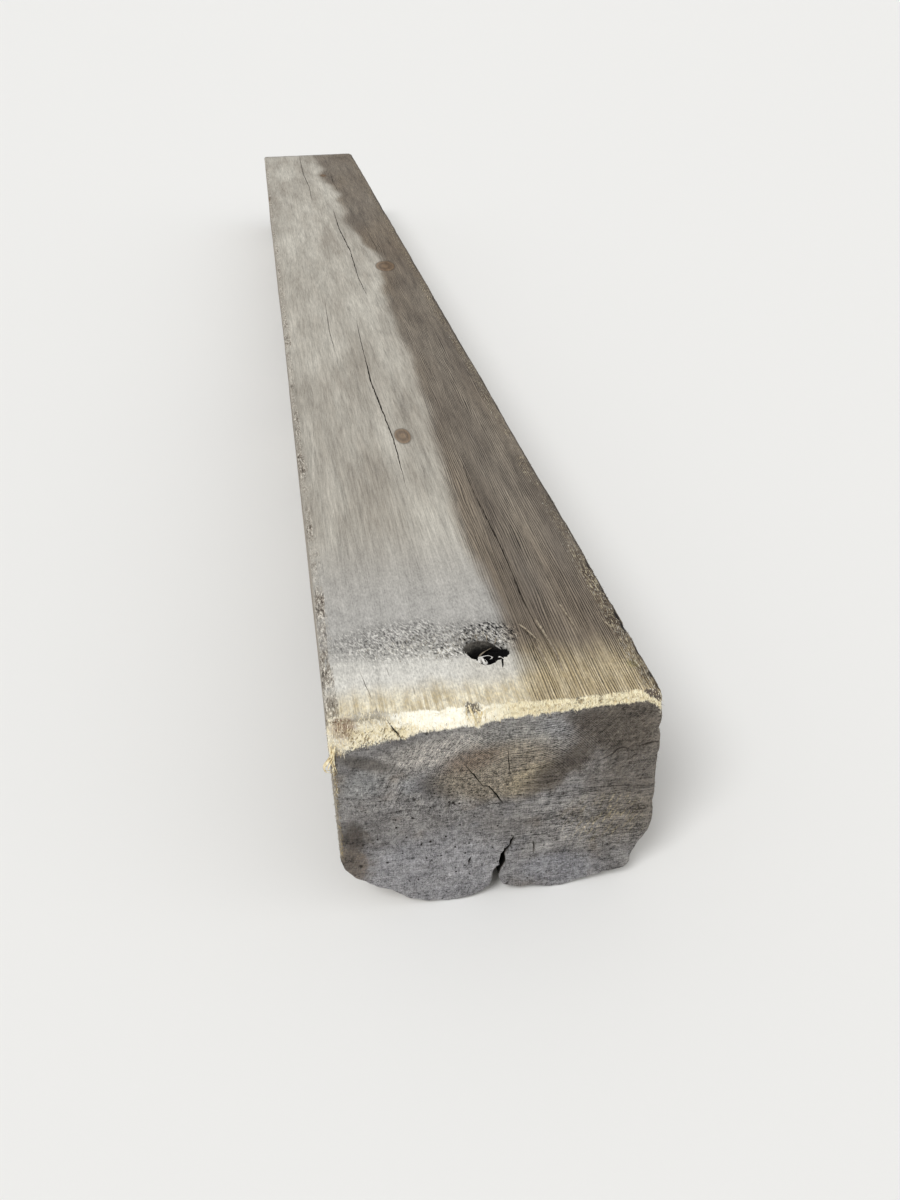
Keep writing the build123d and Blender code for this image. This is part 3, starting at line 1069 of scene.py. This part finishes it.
jog = node_output(
    check_tree, "ShaderNodeCombineXYZ",
    X=shaken(0.0, jog_size) * given["Wander"] * 0.001,
    Y=shaken(5.0, jog_size) * given["Wander"] * 0.001,
)
path = node_output(check_tree, "GeometryNodeSetPosition", Geometry=path, Offset=jog)
path = node_output(check_tree, "GeometryNodeSetCurveNormal", 0, {"mode": "Z_UP"}, Curve=path)
wedge = node_output(
    check_tree, "GeometryNodeCurvePrimitiveQuadrilateral", 0, {"mode": "KITE"},
    Width=given["Width"] * 0.001, Bottom_Height=0.0015, Top_Height=given["Depth"] * 0.001,
)
opening = (taper * (0.75 + shaken(9.0, gape_size) * 1.3)).larger(0.12)
cut = node_output(
    check_tree, "GeometryNodeCurveToMesh", 0, None,
    Curve=path, Profile_Curve=wedge, Scale=opening, Fill_Caps=True,
)
end_tree(check_tree, cut, given["Material"], group_out)


def face_plane(across, along, out, corner):
    """The frame of one face of the beam: the way across it, the way along or down it, the way out
    of it, and its corner in metres."""
    return Matrix([(*row, corner[i]) for i, row in enumerate(zip(across, along, out))] + [(0, 0, 0, 1)])


side_x, end_y, top_z = half_width * 0.001, near_end * 0.001, height * 0.001
top_plane = face_plane((1, 0, 0), (0, 1, 0), (0, 0, 1), (-side_x, end_y, top_z))
end_plane = face_plane((1, 0, 0), (0, 0, 1), (0, -1, 0), (-side_x, end_y, top_z))
left_plane = face_plane((0, -1, 0), (0, 0, 1), (-1, 0, 0), (-side_x, end_y, top_z))
right_plane = face_plane((0, 1, 0), (0, 0, 1), (1, 0, 0), (side_x, end_y, top_z))
under_plane = face_plane((1, 0, 0), (0, -1, 0), (0, 0, -1), (-side_x, end_y, 0.0))
far_plane = face_plane((-1, 0, 0), (0, 0, 1), (0, 1, 0), (side_x, -end_y, top_z))


def check(plane, path, wide, deep, step, wander_by, seed):
    """A closed wedge along a path on one face of the beam, to be cut out of it."""
    line = bpy.data.curves.new("check_path", "CURVE")
    line.dimensions = "3D"
    spline = line.splines.new("POLY")
    spline.points.add(len(path) - 1)
    for spot, (a, b) in zip(spline.points, path):
        spot.co = (a * 0.001, b * 0.001, 0, 1)
    holder = bpy.data.objects.new("check_path", line)
    bpy.context.scene.collection.objects.link(holder)
    made = run_tree(
        holder, check_tree,
        {"Width": wide, "Depth": deep, "Step": step, "Wander": wander_by, "Seed": seed, "Material": wood},
        "check",
    )
    made.data.transform(plane)
    face_outwards(made.data)
    bpy.data.objects.remove(holder)
    return made


def closed_loft(name, sections):
    """A closed solid through these rows of points in millimetres."""
    rings, found, first = [], [], 0
    for section in sections:
        rings.append(np.arange(first, first + len(section)))
        first += len(section)
    for a, b in zip(rings, rings[1:]):
        found += bridge(a, b)
    found += [tuple(rings[0]), tuple(rings[-1])]
    made = link_mesh(name, np.concatenate(sections) * 0.001, found)
    made.data.materials.append(wood)
    face_outwards(made.data)
    return made


# Dowel hole: bored down from the top, its mouth torn out along the grain, most on the far side
hole_x, hole_y = 4.0, near_end + 67.0
hole_radius, hole_depth, mouth_depth = 15.0, 90.0, 12.0
turn = np.radians(np.arange(0, 360, 3.0))
tears = np.array(
    [(0, 1.2), (23, 0.8), (40, 1.2), (58, 2.0), (81, 3.4), (94, 5.4), (110, 6.4), (125, 7.6),
     (150, 4.6), (169, 1.2), (200, -0.5), (221, -1.9), (235, -0.1), (253, 1.9), (269, 1.0),
     (293, -1.9), (312, -0.8), (330, 0.4), (360, 1.2)]
)
tear = np.interp(np.degrees(turn), *tears.T)
tear += 0.9 * wander(turn * 15, 1.6, 41) + 0.5 * wander(turn * 15, 4.2, 42)
hole_sections = []
for down in (-8, 0, 0.6, 1.4, 2.6, 4.2, 6.2, 9, 12, 16, 22, 30, 42, 56, 72, 88, hole_depth):
    open_share = np.clip(1 - max(down, 0) / mouth_depth, 0, 1) ** 2.2
    ripple = 0.35 * patches(turn * 15, down, 2.2, 3.5, 43) + 0.25 * patches(turn * 15, down, 0.9, 30, 44)
    reach = hole_radius + np.where(tear > 0, tear * open_share, tear * open_share**3) + ripple
    if down == hole_depth:
        reach = reach - 1.0
    across, along = hole_x + reach * np.cos(turn), hole_y + reach * np.sin(turn)
    hole_sections.append(np.c_[across, along, np.full(len(turn), height - down)])
dowel_hole = closed_loft("dowel_hole", hole_sections)

# Split: open at the underside, leaning right to its tip, closing as it runs into the beam
split_shape = np.array(
    [(-9.6, -12), (-8.8, 6), (-7.6, 9), (-6.6, 13), (-5.0, 17), (-5.4, 21), (-4.8, 25), (-2.0, 28.4),
     (0.2, 29.6), (-0.4, 33), (0.2, 37), (1.0, 40.5), (3.2, 43), (4.4, 46), (6.8, 48.5), (7.4, 52),
     (10.6, 57.0), (9.8, 50.5), (8.2, 47.2), (6.8, 44.0), (5.0, 41.6), (4.2, 38.6), (4.6, 34.5),
     (4.8, 31), (3.0, 27.2), (1.4, 25.0), (0.6, 22.2), (-0.4, 18.4), (0.6, 15), (2.0, 12.5),
     (3.6, 9.5), (4.8, 6), (6.4, -12)]
)
split_reach, split_mouth_x = 280.0, -2.5
split_sections = []
for v_here in np.r_[-6, 0, rows(0, split_reach, 4, 22)]:
    share = 1 - 0.92 * max(v_here, 0) / split_reach
    shape = (split_shape - (split_mouth_x, 0)) * share + (split_mouth_x, 0)
    shape[:, 1] = np.where(split_shape[:, 1] < 0, -12, shape[:, 1])
    shape[:, 0] += 1.6 * wander(v_here, 26, 51) * (1 - share) + 0.5 * wander(v_here + shape[:, 1] * 2, 12, 52)
    split_sections.append(np.c_[shape[:, 0], np.full(len(shape), near_end + v_here), shape[:, 1]])
split = closed_loft("split", split_sections)

cutters = [dowel_hole, split]
# (face, path on it in mm from the left or bored end and from the top, width, depth, step, wander, seed)
known_checks = (
    (end_plane, ((88.3, -43.6), (89.8, -45.6), (93.9, -52.3), (98.7, -60.5),
     (102.5, -66)), 1.5, 12, 1.5, 1.4, 1),
    (end_plane, ((94.5, -63.6), (99.5, -63.4), (104.7, -64.8), (107.5, -69), (110.6, -73.6),
     (112.4, -78), (117, -84)), 1.8, 12, 1.5, 1.4, 48),
    (end_plane, ((3, -59.6), (12, -61), (21.4, -63.2), (26, -64.5)), 0.9, 6, 1.5, 0.8, 49),
    (end_plane, ((76, -82), (83, -83), (91, -84.3)), 0.8, 5, 1.5, 0.6, 50),
    (end_plane, ((86, -90.2), (93, -91.4), (101, -92.6)), 0.7, 5, 1.5, 0.6, 51),
    (top_plane, ((127, 61), (125.6, 56), (124.8, 51), (123.4, 45.6)), 2.0, 8, 1.5, 0.8, 52),
    (top_plane, ((125.2, 45.0), (123.2, 44.0), (121.6, 44.6)), 2.2, 4, 1.0, 0.4, 53),
    (end_plane, ((98, -81.6), (110, -81.4), (121, -82.4), (130, -82.6)), 1.2, 9, 1.5, 0.8, 2),
    (end_plane, ((117.8, -30), (118.3, -42), (119.2, -52), (119, -60)), 1.0, 7, 1.6, 0.8, 3),
    (end_plane, ((178, -56), (187, -52), (191.6, -49.6), (194.6, -46), (198.5, -44.6), (203.5, -47.6),
     (206, -47.0)), 1.8, 9, 1.5, 1.2, 4),
    (end_plane, ((205, -44.6), (212, -45.4), (219, -43.8), (231, -44.6)), 2.4, 9, 1.5, 1.4, 54),
    (end_plane, ((172, -77.5), (185, -78.4), (197.1, -78.9), (212, -81), (231, -85)), 1.5, 9, 1.6, 1.2, 5),
    (end_plane, ((30, -77.4), (40, -77.8), (48, -77.3), (56, -79.2), (65, -80.8)), 1.2, 6, 1.6, 0.9, 6),
    (end_plane, ((92.6, -128.5), (91.2, -132), (90.6, -137)), 2.4, 7, 1.0, 0.8, 7),
    (end_plane, ((98, -132.2), (101.5, -131)), 1.6, 5, 1.0, 0.5, 8),
    (end_plane, ((186, -127), (190, -131.5), (189, -138)), 1.3, 6, 1.2, 0.8, 9),
    (end_plane, ((183, -133), (190, -131), (195.5, -129)), 1.2, 5, 1.2, 0.8, 10),
    (end_plane, ((137.4, -121), (138.6, -128), (137.6, -135)), 2.2, 4, 1.2, 1.0, 11),
    (end_plane, ((35.5, -0.5), (39.5, -6.0), (43.4, -11), (47.4, -17)), 3.2, 12, 1.0, 1.2, 12),
    (end_plane, ((133.6, -156.4), (135, -159.6)), 2.6, 6, 1.0, 0.3, 13),
    (top_plane, ((160.3, 24), (161.2, 43.2), (161.6, 59.2), (160.1, 76.2), (158.6, 97.3),
     (157.4, 130), (159, 210), (156, 320), (157.5, 430)), 1.5, 16, 3.0, 1.4, 14),
    (top_plane, ((184.2, 57), (185, 86), (185.6, 120), (184, 190), (185.5, 260)), 0.8, 9, 3.0, 1.0, 15),
    (end_plane, ((117.8, -120), (116.4, -126.5), (117.2, -134)), 1.5, 6, 1.0, 0.6, 42),
    (end_plane, ((120.6, -112.5), (123.4, -116.5), (122.2, -121.5)), 1.3, 5, 1.0, 0.6, 43),
    (top_plane, ((144.8, 99), (147.4, 91), (150.2, 83), (153, 75), (155.4, 66)), 1.0, 5, 2.0, 0.8, 44),
    (top_plane, ((148.5, 22), (148, 46), (150.5, 70), (149.5, 112)), 0.7, 6, 3.0, 0.8, 45),
    (top_plane, ((171.5, 26), (172.5, 60), (171, 104), (173, 160)), 0.6, 6, 3.0, 0.8, 46),
    (top_plane, ((196, 40), (195, 84), (197, 140), (195.5, 190)), 0.6, 6, 3.0, 0.8, 47),
    (top_plane, ((31.2, 24), (28.4, 42), (25.2, 64)), 0.7, 5, 2.0, 0.7, 16),
    (top_plane, ((45.4, 47.5), (44.4, 61)), 0.7, 4, 2.0, 0.5, 17),
    (top_plane, ((59.3, 24), (59.8, 35.6)), 0.5, 3, 2.0, 0.5, 18),
)
hidden_checks = (
    (top_plane, ((96, 330), (99, 470), (94, 640), (97, 800), (101, 930)), 2.2, 26, 6.0, 2.2, 21),
    (top_plane, ((128, 980), (124, 1130), (127, 1310), (122, 1500), (125, 1690)), 2.8, 34, 6.0, 2.6, 22),
    (top_plane, ((62, 700), (60, 850), (64, 1010)), 1.2, 12, 6.0, 1.8, 23),
    (top_plane, ((170, 1180), (173, 1330), (169, 1520)), 1.3, 14, 6.0, 1.8, 24),
    (top_plane, ((88, 1760), (91, 1930), (86, 2110), (89, 2405)), 2.0, 24, 6.0, 2.0, 25),
    (top_plane, ((150, 1830), (147, 1990), (151, 2160)), 1.2, 12, 6.0, 1.8, 26),
    (right_plane, ((-3, -43), (60, -45), (150, -42.5), (240, -44)), 1.2, 10, 5.0, 1.6, 27),
    (right_plane, ((-3, -85), (110, -84), (290, -88), (520, -83), (700, -86)), 1.8, 20, 6.0, 2.2, 28),
    (right_plane, ((820, -78), (1010, -82), (1250, -76), (1480, -80)), 2.4, 28, 6.0, 2.4, 29),
    (right_plane, ((1560, -60), (1740, -63), (1920, -58)), 1.2, 12, 6.0, 1.6, 30),
    (right_plane, ((1850, -92), (2080, -88), (2240, -90), (2405, -87)), 1.8, 20, 6.0, 2.0, 31),
    (left_plane, ((-160, -84), (-330, -80), (-560, -85), (-800, -82)), 1.9, 22, 6.0, 2.2, 32),
    (left_plane, ((-900, -74), (-1130, -79), (-1400, -73), (-1620, -77)), 2.4, 28, 6.0, 2.4, 33),
    (left_plane, ((-420, -48), (-560, -51), (-730, -47)), 1.1, 10, 6.0, 1.6, 34),
    (left_plane, ((-1700, -92), (-1950, -88), (-2200, -91), (-2405, -88)), 1.8, 20, 6.0, 2.0, 35),
    (under_plane, ((104, -420), (107, -640), (101, -900), (105, -1150)), 2.2, 24, 6.0, 2.2, 36),
    (under_plane, ((126, -1290), (122, -1560), (127, -1830)), 1.6, 16, 6.0, 2.0, 37),
    (far_plane, ((101, -81), (84, -62), (66, -38), (52, -12)), 1.6, 24, 2.5, 1.8, 38),
    (far_plane, ((96, -84), (62, -90), (30, -88), (-4, -89)), 1.4, 22, 2.5, 1.8, 39),
    (far_plane, ((106, -80), (140, -84), (184, -82), (230, -86)), 1.5, 22, 2.5, 1.8, 40),
    (far_plane, ((103, -88), (112, -118), (118, -140), (121, -174)), 1.6, 22, 2.5, 1.8, 41),
)
cutters += [check(*row) for row in known_checks + hidden_checks]

for cutter in cutters:
    cut = beam.modifiers.new("cut", "BOOLEAN")
    cut.operation = "DIFFERENCE"
    cut.solver = "MANIFOLD"
    cut.object = cutter
graph = bpy.context.evaluated_depsgraph_get()
cut_mesh = bpy.data.meshes.new_from_object(beam.evaluated_get(graph))
beam.modifiers.clear()
beam.data = cut_mesh
cut_mesh.name = "sawn_beam"
for cutter in cutters:
    bpy.data.objects.remove(cutter)


known_sections = {}
section_step = 4
most_hollow = 60


def section_at(distance):
    """The section near this distance, kept once it has been worked out."""
    key = int(min(max(distance, 0), length) // section_step)
    if key not in known_sections:
        known_sections[key] = outline((key + 0.5) * section_step)
    return known_sections[key]


def depth_inside(spots):
    """How far a point lies inside the beam as sawn and worn: more than nothing only in its cuts."""
    u, v, w = from_faces(spots)
    depth = np.minimum(v - worn_back(u, w), length - v)
    depth = np.minimum(depth, np.minimum(w, half_width - np.abs(spots[:, 0])))
    for i in np.flatnonzero((depth > 0.4) & (spots[:, 2] < 120)):
        a = section_at(v[i])
        run = np.roll(a, -1, axis=0) - a
        away = spots[i, (0, 2)] - a
        share = np.clip((away * run).sum(1) / (run**2).sum(1), 0, 1)
        depth[i] = min(depth[i], np.hypot(*(run * share[:, None] - away).T).min())
    return np.clip(depth, 0, most_hollow)


spots = vertex_points(beam.data)
spots[:, 2] = np.maximum(spots[:, 2], 0)  # it beds flat on what it lies on
beam.data.vertices.foreach_set("co", (spots * 0.001).ravel())
drop_numbers(beam.data, ("end_share", "fresh"))
# how deep a point lies in a cut: it sets the dirt and painted shade of the checks and the split, and the
# painted shade of the hole
hollow_mm = np.clip(depth_inside(spots) - 0.9, 0, most_hollow)
# the hole's painted shade is kept off the far right of its mouth, where light falls into it
pale_turn, pale_spread, pale_reach = 46, 24, hole_radius + 9
across_hole, along_hole = spots[:, 0] - hole_x, spots[:, 1] - hole_y
hole_turn = np.degrees(np.arctan2(along_hole, across_hole))
lit_mouth = 3.6 * np.exp(-(((hole_turn - pale_turn) / pale_spread) ** 2))
lit_mouth *= np.hypot(across_hole, along_hole) < pale_reach
hollow_mm = np.clip(hollow_mm - lit_mouth, 0, most_hollow)
fresh_mm = fresh_wood(spots)
end_mm = np.abs(np.abs(spots[:, 1]) + near_end)
set_numbers(beam.data, "end_share", np.clip(2.2 - end_mm + (fresh_mm > 0), 0, 1))
set_numbers(beam.data, "fresh", fresh_mm)
set_numbers(beam.data, "hollow", hollow_mm)
beam.data.set_sharp_from_angle(angle=math.radians(38))
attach(beam, "root")
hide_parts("beam")


# Broken edges and raised fibres
# Where the wood was knocked, sawn or bored it did not break clean: bundles of its own fibres stand
# out of the surface, cream on the fresh breaks and grey on the old ones, all along the grain.
def torn_share(spots):
    """Where fibres stand out: on the fresh breaks, and on the older rough places of the top."""
    u, v, w = from_faces(spots)
    on_top = w < 1.5
    by_place = np.interp(u, (0, 32, 44, 90, 94, 226), (0.6, 0.7, 0.14, 0.14, 0.8, 0.9))
    fresh_break = (fresh_mm > 0.4) * by_place * (hollow_mm < 0.5) * np.where(w > 30, 0.45, 1.0)
    old = on_top * np.exp(-(((u - 72) / 30) ** 2 + ((v - 82) / 15) ** 2)) * 0.55
    old = np.maximum(old, on_top * np.exp(-(((u - 91) / 11) ** 2 + ((v - 71) / 9) ** 2)))
    from_hole = np.hypot(spots[:, 0] - hole_x, spots[:, 1] - hole_y - 2)
    far_side = np.clip((spots[:, 1] - hole_y + 4) / 16, 0, 1)
    old = np.maximum(old, on_top * np.clip(1 - np.abs(from_hole - 20) / 7, 0, 1) * (0.25 + far_side))
    edges = ((u > 211) & (w < 12)) | ((u < 8) & (w < 5))
    old = np.maximum(old, edges * np.interp(v, (6, 130, 320, 2400), (0.8, 0.5, 0.12, 0.06)))
    on_side = (np.abs(spots[:, 0]) > half_width - 2) * (w > 12)
    old = np.maximum(old, on_side * np.interp(v, (2, 14, 60), (0.5, 0.12, 0.0)))
    return fresh_break, np.where(fresh_break > 0, 0, old) * (v > 1.8) * (hollow_mm < 0.4)


fresh_share, old_share = torn_share(spots)
set_numbers(beam.data, "fresh_share", fresh_share)
set_numbers(beam.data, "old_share", old_share)


def random_number(low, high, seed):
    """A number from low to high, its own for each splinter."""
    node = seed.socket.id_data.nodes.new("FunctionNodeRandomValue")
    node.data_type = "FLOAT"
    node.inputs[2].default_value, node.inputs[3].default_value = low, high
    join(seed, node.inputs["Seed"])
    return Flow(node.outputs[1])


def fibre_tree(name, share_name):
    """A tree that stands thin, bent, tapering splinters on a surface, along the grain."""
    tree, given, group_out = new_tree(
        name, Per_Square_Metre="Float", Shortest="Float", Longest="Float", Thickness="Float",
        Lift="Float", Droop="Float", Spread="Float", Seed="Int", Material="Material",
    )
    seed, lift, spread = given["Seed"], given["Lift"], given["Spread"]
    scatter = tree.nodes.new("GeometryNodeDistributePointsOnFaces")
    join(given["Geometry"], scatter.inputs["Mesh"])
    join(stored_number(tree, share_name) * given["Per Square Metre"], scatter.inputs["Density"])
    join(seed, scatter.inputs["Seed"])
    # one splinter: a four-sided spike, bent over towards its tip, its root below the surface
    cone = node_output(
        tree, "GeometryNodeMeshCone", 0, {"fill_type": "TRIANGLE_FAN"},
        Vertices=4, Side_Segments=4, Radius_Top=0.06, Radius_Bottom=1.0, Depth=1.0,
    )
    up = parts(node_output(tree, "GeometryNodeInputPosition"))[2]
    bend = node_output(tree, "ShaderNodeCombineXYZ", X=up * up * 0.9, Y=up * up * 0.3, Z=-0.14)
    spike = node_output(tree, "GeometryNodeSetPosition", Geometry=cone, Offset=bend)
    # along the grain, one way or the other, but on the beam's ends out of the end
    nx, ny, nz = parts(Flow(scatter.outputs["Normal"]))
    on_end = ny.math("ABSOLUTE").smooth(0.3, 0.5)
    way = random_number(-1.0, 1.0, seed + 11.0).math("SIGN") * (1.0 - on_end) + ny.math("SIGN") * on_end
    aim = node_output(
        tree, "ShaderNodeCombineXYZ",
        X=nx * lift + random_number(-1.0, 1.0, seed + 12.0) * spread,
        Y=way,
        Z=nz * lift - given["Droop"] + random_number(-1.0, 1.0, seed + 13.0) * spread,
    )
    turned = node_output(tree, "FunctionNodeAlignRotationToVector", 0, {"axis": "Z"}, Vector=aim)
    span = random_number(0.0, 1.0, seed + 14.0)
    long_mm = given["Shortest"] + (given["Longest"] - given["Shortest"]) * span * span
    thick_mm = given["Thickness"] * random_number(0.5, 1.4, seed + 15.0)
    size = node_output(
        tree, "ShaderNodeCombineXYZ", X=thick_mm * 0.001, Y=thick_mm * 0.0006, Z=long_mm * 0.001
    )
    stand = node_output(
        tree, "GeometryNodeInstanceOnPoints",
        Points=Flow(scatter.outputs["Points"]), Instance=spike, Rotation=turned, Scale=size,
    )
    end_tree(tree, stand, given["Material"], group_out)
    return tree


def fibre_wood(name, low, high, dark):
    """Loose fibres of one tone, each a little different from the next."""
    made = bpy.data.materials.new(name)
    made.use_nodes = True
    tree = made.node_tree
    point = in_mm(node_output(tree, "ShaderNodeTexCoord", "Object"))
    tone = grain(point, 2.2, 1.5, 2, 0.6, 3.0) * 3.0 + grain(point, 0.4, 8, 1, 0.5, 5.0) + 0.5
    dirt = grain(point, 3.1, 1.2, 2, 0.6, 7.0).smooth(0.07, 0.17) * 0.8
    skin = tree.nodes["Principled BSDF"]
    join(mixed(mixed(low, high, tone), dark, dirt), skin.inputs["Base Color"])
    join(grain(point, 0.6, 4, 2, 0.6, 9.0) * 0.3 + 0.85, skin.inputs["Roughness"])
    skin.inputs["Specular IOR Level"].default_value = 0.2
    fine = grain(point, 0.25, 12, 2, 0.6, 11.0)
    bump = node_output(tree, "ShaderNodeBump", "Normal", None, Distance=0.0002, Height=fine)
    join(bump, skin.inputs["Normal"])
    return made


cream_fibres, amber_fibres, brown_fibres, pale_fibres, ridge_fibres, grey_fibres = [
    fibre_wood(name + "_fibres", paint(*low), paint(*high), paint(*dark))
    for name, low, high, dark in (
        ("cream", (228, 212, 174), (253, 248, 230), (150, 128, 94)),
        ("amber", (208, 186, 138), (250, 241, 210), (124, 96, 62)),
        ("brown", (112, 102, 88), (178, 167, 148), (70, 61, 51)),
        ("pale", (226, 223, 216), (252, 251, 247), (160, 152, 140)),
        ("ridge", (122, 110, 96), (178, 166, 146), (80, 70, 60)),
        ("grey", (132, 125, 114), (212, 207, 194), (84, 75, 64)),
    )
]

own_numbers = ("fresh", "hollow", "end_share", "fresh_share", "old_share")
for name, share_name, material, values in (
    ("edge_splinters", "fresh_share", cream_fibres,
     {"Per Square Metre": 360000.0, "Shortest": 1.4, "Longest": 5.0, "Thickness": 0.26, "Lift": 0.30,
      "Droop": 0.75, "Spread": 0.5, "Seed": 3}),
    ("raised_fibres", "old_share", grey_fibres,
     {"Per Square Metre": 300000.0, "Shortest": 1.2, "Longest": 4.6, "Thickness": 0.26, "Lift": 0.30,
      "Droop": 0.0, "Spread": 0.30, "Seed": 8}),
):
    fibres = run_tree(beam, fibre_tree(name + "_tree", share_name), {**values, "Material": material}, name)
    drop_numbers(fibres.data, own_numbers)
    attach(fibres, "root")


# Slivers and curls
# The larger splinters of the same breaks: a curl at the left corner, slivers in the notch of the
# upper edge, ridges lifted beside the checks, and a shaving left hanging in the dowel hole.
sliver_tree, given, group_out = new_tree(
    "sliver", Width="Float", Thickness="Float", Twist="Float", Material="Material"
)
bent = node_output(
    sliver_tree, "GeometryNodeCurveSplineType", 0, {"spline_type": "CATMULL_ROM"}, Curve=given["Geometry"]
)
bent = node_output(sliver_tree, "GeometryNodeResampleCurve", 0, {"mode": "COUNT"}, Curve=bent, Count=22)
share = node_output(sliver_tree, "GeometryNodeSplineParameter")
turned = (share * 7.0).math("SINE") * given["Twist"]
bent = node_output(sliver_tree, "GeometryNodeSetCurveTilt", Curve=bent, Tilt=turned)
flat = node_output(
    sliver_tree, "GeometryNodeCurvePrimitiveQuadrilateral", 0, {"mode": "RECTANGLE"},
    Width=given["Width"] * 0.001, Height=given["Thickness"] * 0.001,
)
thick = node_output(sliver_tree, "GeometryNodeInputRadius") * (1.0 - share * share * 0.88)
strip = node_output(
    sliver_tree, "GeometryNodeCurveToMesh", 0, None,
    Curve=bent, Profile_Curve=flat, Scale=thick, Fill_Caps=True,
)
end_tree(sliver_tree, strip, given["Material"], group_out)


def slivers(name, paths, width, thickness, twist, material):
    """Slivers along these paths, each given as its relative width and its points from the left,
    from the bored end and below the top."""
    lines = bpy.data.curves.new(name + "_paths", "CURVE")
    lines.dimensions = "3D"
    for share, path in paths:
        spline = lines.splines.new("POLY")
        spline.points.add(len(path) - 1)
        for spot, (u, v, w) in zip(spline.points, path):
            spot.co = ((u - half_width) * 0.001, (near_end + v) * 0.001, (height - w) * 0.001, 1)
            spot.radius = share
    holder = bpy.data.objects.new(name + "_paths", lines)
    bpy.context.scene.collection.objects.link(holder)
    made = run_tree(
        holder, sliver_tree,
        {"Width": width, "Thickness": thickness, "Twist": twist, "Material": material}, name,
    )
    face_outwards(made.data)
    bpy.data.objects.remove(holder)
    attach(made, "root")


slivers(
    "corner_curl",
    (
        (1.0, ((1.8, 1.5, 18), (0.4, -0.4, 23), (-3.0, -1.6, 27.5), (-4.8, -1.2, 31.5), (-3.6, -0.4, 35.4),
               (-0.4, 0.6, 37.0), (2.0, 1.4, 35.6))),
        (0.8, ((2.2, 0.8, 22), (0.6, -1.0, 25.6), (-1.6, -1.8, 29.5), (-2.2, -1.4, 33), (0.2, -0.4, 35.6))),
        (0.8, ((0.8, 3.5, 24), (-2.6, 1.6, 27.5), (-5.0, 1.2, 31), (-4.6, 1.6, 34.6),
         (-1.6, 2.6, 36.8), (1.0, 4.5, 37))),
        (0.7, ((3.4, 1.2, 16), (2.2, -0.2, 21), (1.8, -1.0, 27), (2.4, -0.8, 33), (3.8, -0.2, 38))),
        (0.6, ((1.2, 1.8, 14), (0.2, 0.4, 20), (0.4, -0.8, 27), (1.2, -0.8, 34), (0.8, -0.2, 41))),
    ),
    1.8, 0.5, 0.5, amber_fibres,
)
slivers(
    "notch_slivers",
    (
        (1.0, ((92.6, 9, 1.0), (94.0, 4.6, 4.0), (95.8, 1.6, 8.2), (97.6, 0.2, 13.8))),
        (0.8, ((102.4, 7, 0.8), (100.8, 4.2, 4.0), (99.4, 1.8, 8.0), (98.4, 0.6, 13.0))),
        (0.8, ((95.2, 9, 2.6), (98.2, 5.0, 4.8), (100.8, 2.2, 8.5), (102.2, 0.4, 13.2))),
        (0.6, ((98.4, 8, 3.0), (98.8, 4.0, 6.2), (97.0, 1.2, 9.5), (95.2, 0.0, 11.8))),
        (0.5, ((104.2, 6, 1.0), (102.8, 3.4, 3.4), (102.4, 1.4, 6.4), (103.2, 0.2, 9.4))),
        (0.5, ((90.8, 7, 0.8), (90.4, 4.0, 3.4), (91.6, 1.6, 6.8), (93.4, 0.0, 9.6))),
    ),
    1.6, 0.5, 0.7, amber_fibres,
)
slivers(
    "hole_shaving",
    (
        (1.0, ((108.2, 55.0, 1.4), (110.0, 58.6, 1.6), (110.8, 63.5, 3.0), (113.1, 68.2, 5.0),
         (117.3, 71.1, 6.5),
               (120.0, 69.5, 6.0), (120.2, 65.2, 4.5), (117.8, 61.9, 3.5))),
        (0.9, ((111.4, 66.6, 5.4), (112.4, 63.8, 4.0), (113.0, 61.4, 4.5), (114.0, 59.4, 5.0),
         (115.8, 62.4, 6.0),
               (115.9, 65.7, 6.5), (114.2, 66.6, 6.0))),
        (0.5, ((127.2, 57.0, 0.8), (125.4, 60.6, 1.6), (124.3, 63.4, 3.0), (125.2, 65.4, 5.0))),
    ),
    2.9, 0.5, 0.5, pale_fibres,
)
slivers(
    "hole_splinters",
    (
        (1.0, ((113.2, 80.6, 13.4), (116.2, 80.8, 10.6), (119.4, 80.2, 8.0), (123.0, 79.2, 5.4))),
        (0.7, ((120.6, 87.0, -0.3), (120.0, 84.4, 0.4), (119.4, 81.6, 2.0))),
        (0.7, ((112.4, 88.8, -0.3), (112.8, 86.2, 0.4), (113.4, 83.4, 1.9))),
        (0.6, ((126.4, 82.0, -0.3), (125.4, 79.8, 0.4), (124.2, 77.4, 2.2))),
    ),
    1.1, 0.5, 0.4, brown_fibres,
)
slivers(
    "lifted_ridges",
    (
        (0.8, ((146.5, 99, 0.6), (149.0, 92, -0.5), (151.8, 84, -0.7), (154.5, 76, -0.5),
         (156.8, 68, 0.6))),
        (1.0, ((160.0, 104, 0.6), (161.4, 88, -0.6), (162.6, 72, -0.8), (163.6, 58, -0.8),
         (163.4, 44, -0.7), (162.2, 28, 0.6))),
        (0.8, ((163.0, 48, 0.5), (163.3, 40, -0.7), (162.9, 31, 0.5))),
        (0.8, ((152.9, 66, 0.5), (153.8, 56, -0.6), (154.2, 44, 0.5))),
        (0.8, ((183.2, 122, 0.6), (184.2, 106, -0.6), (185.6, 90, -0.6), (186.8, 76, 0.6))),
        (0.7, ((209.0, 94, 0.5), (210.8, 80, -0.8), (211.6, 66, 0.6))),
        (0.6, ((213.0, 74, 0.8), (214.4, 62, -0.4), (214.9, 50, 1.2))),
    ),
    1.6, 1.6, 0.2, ridge_fibres,
)
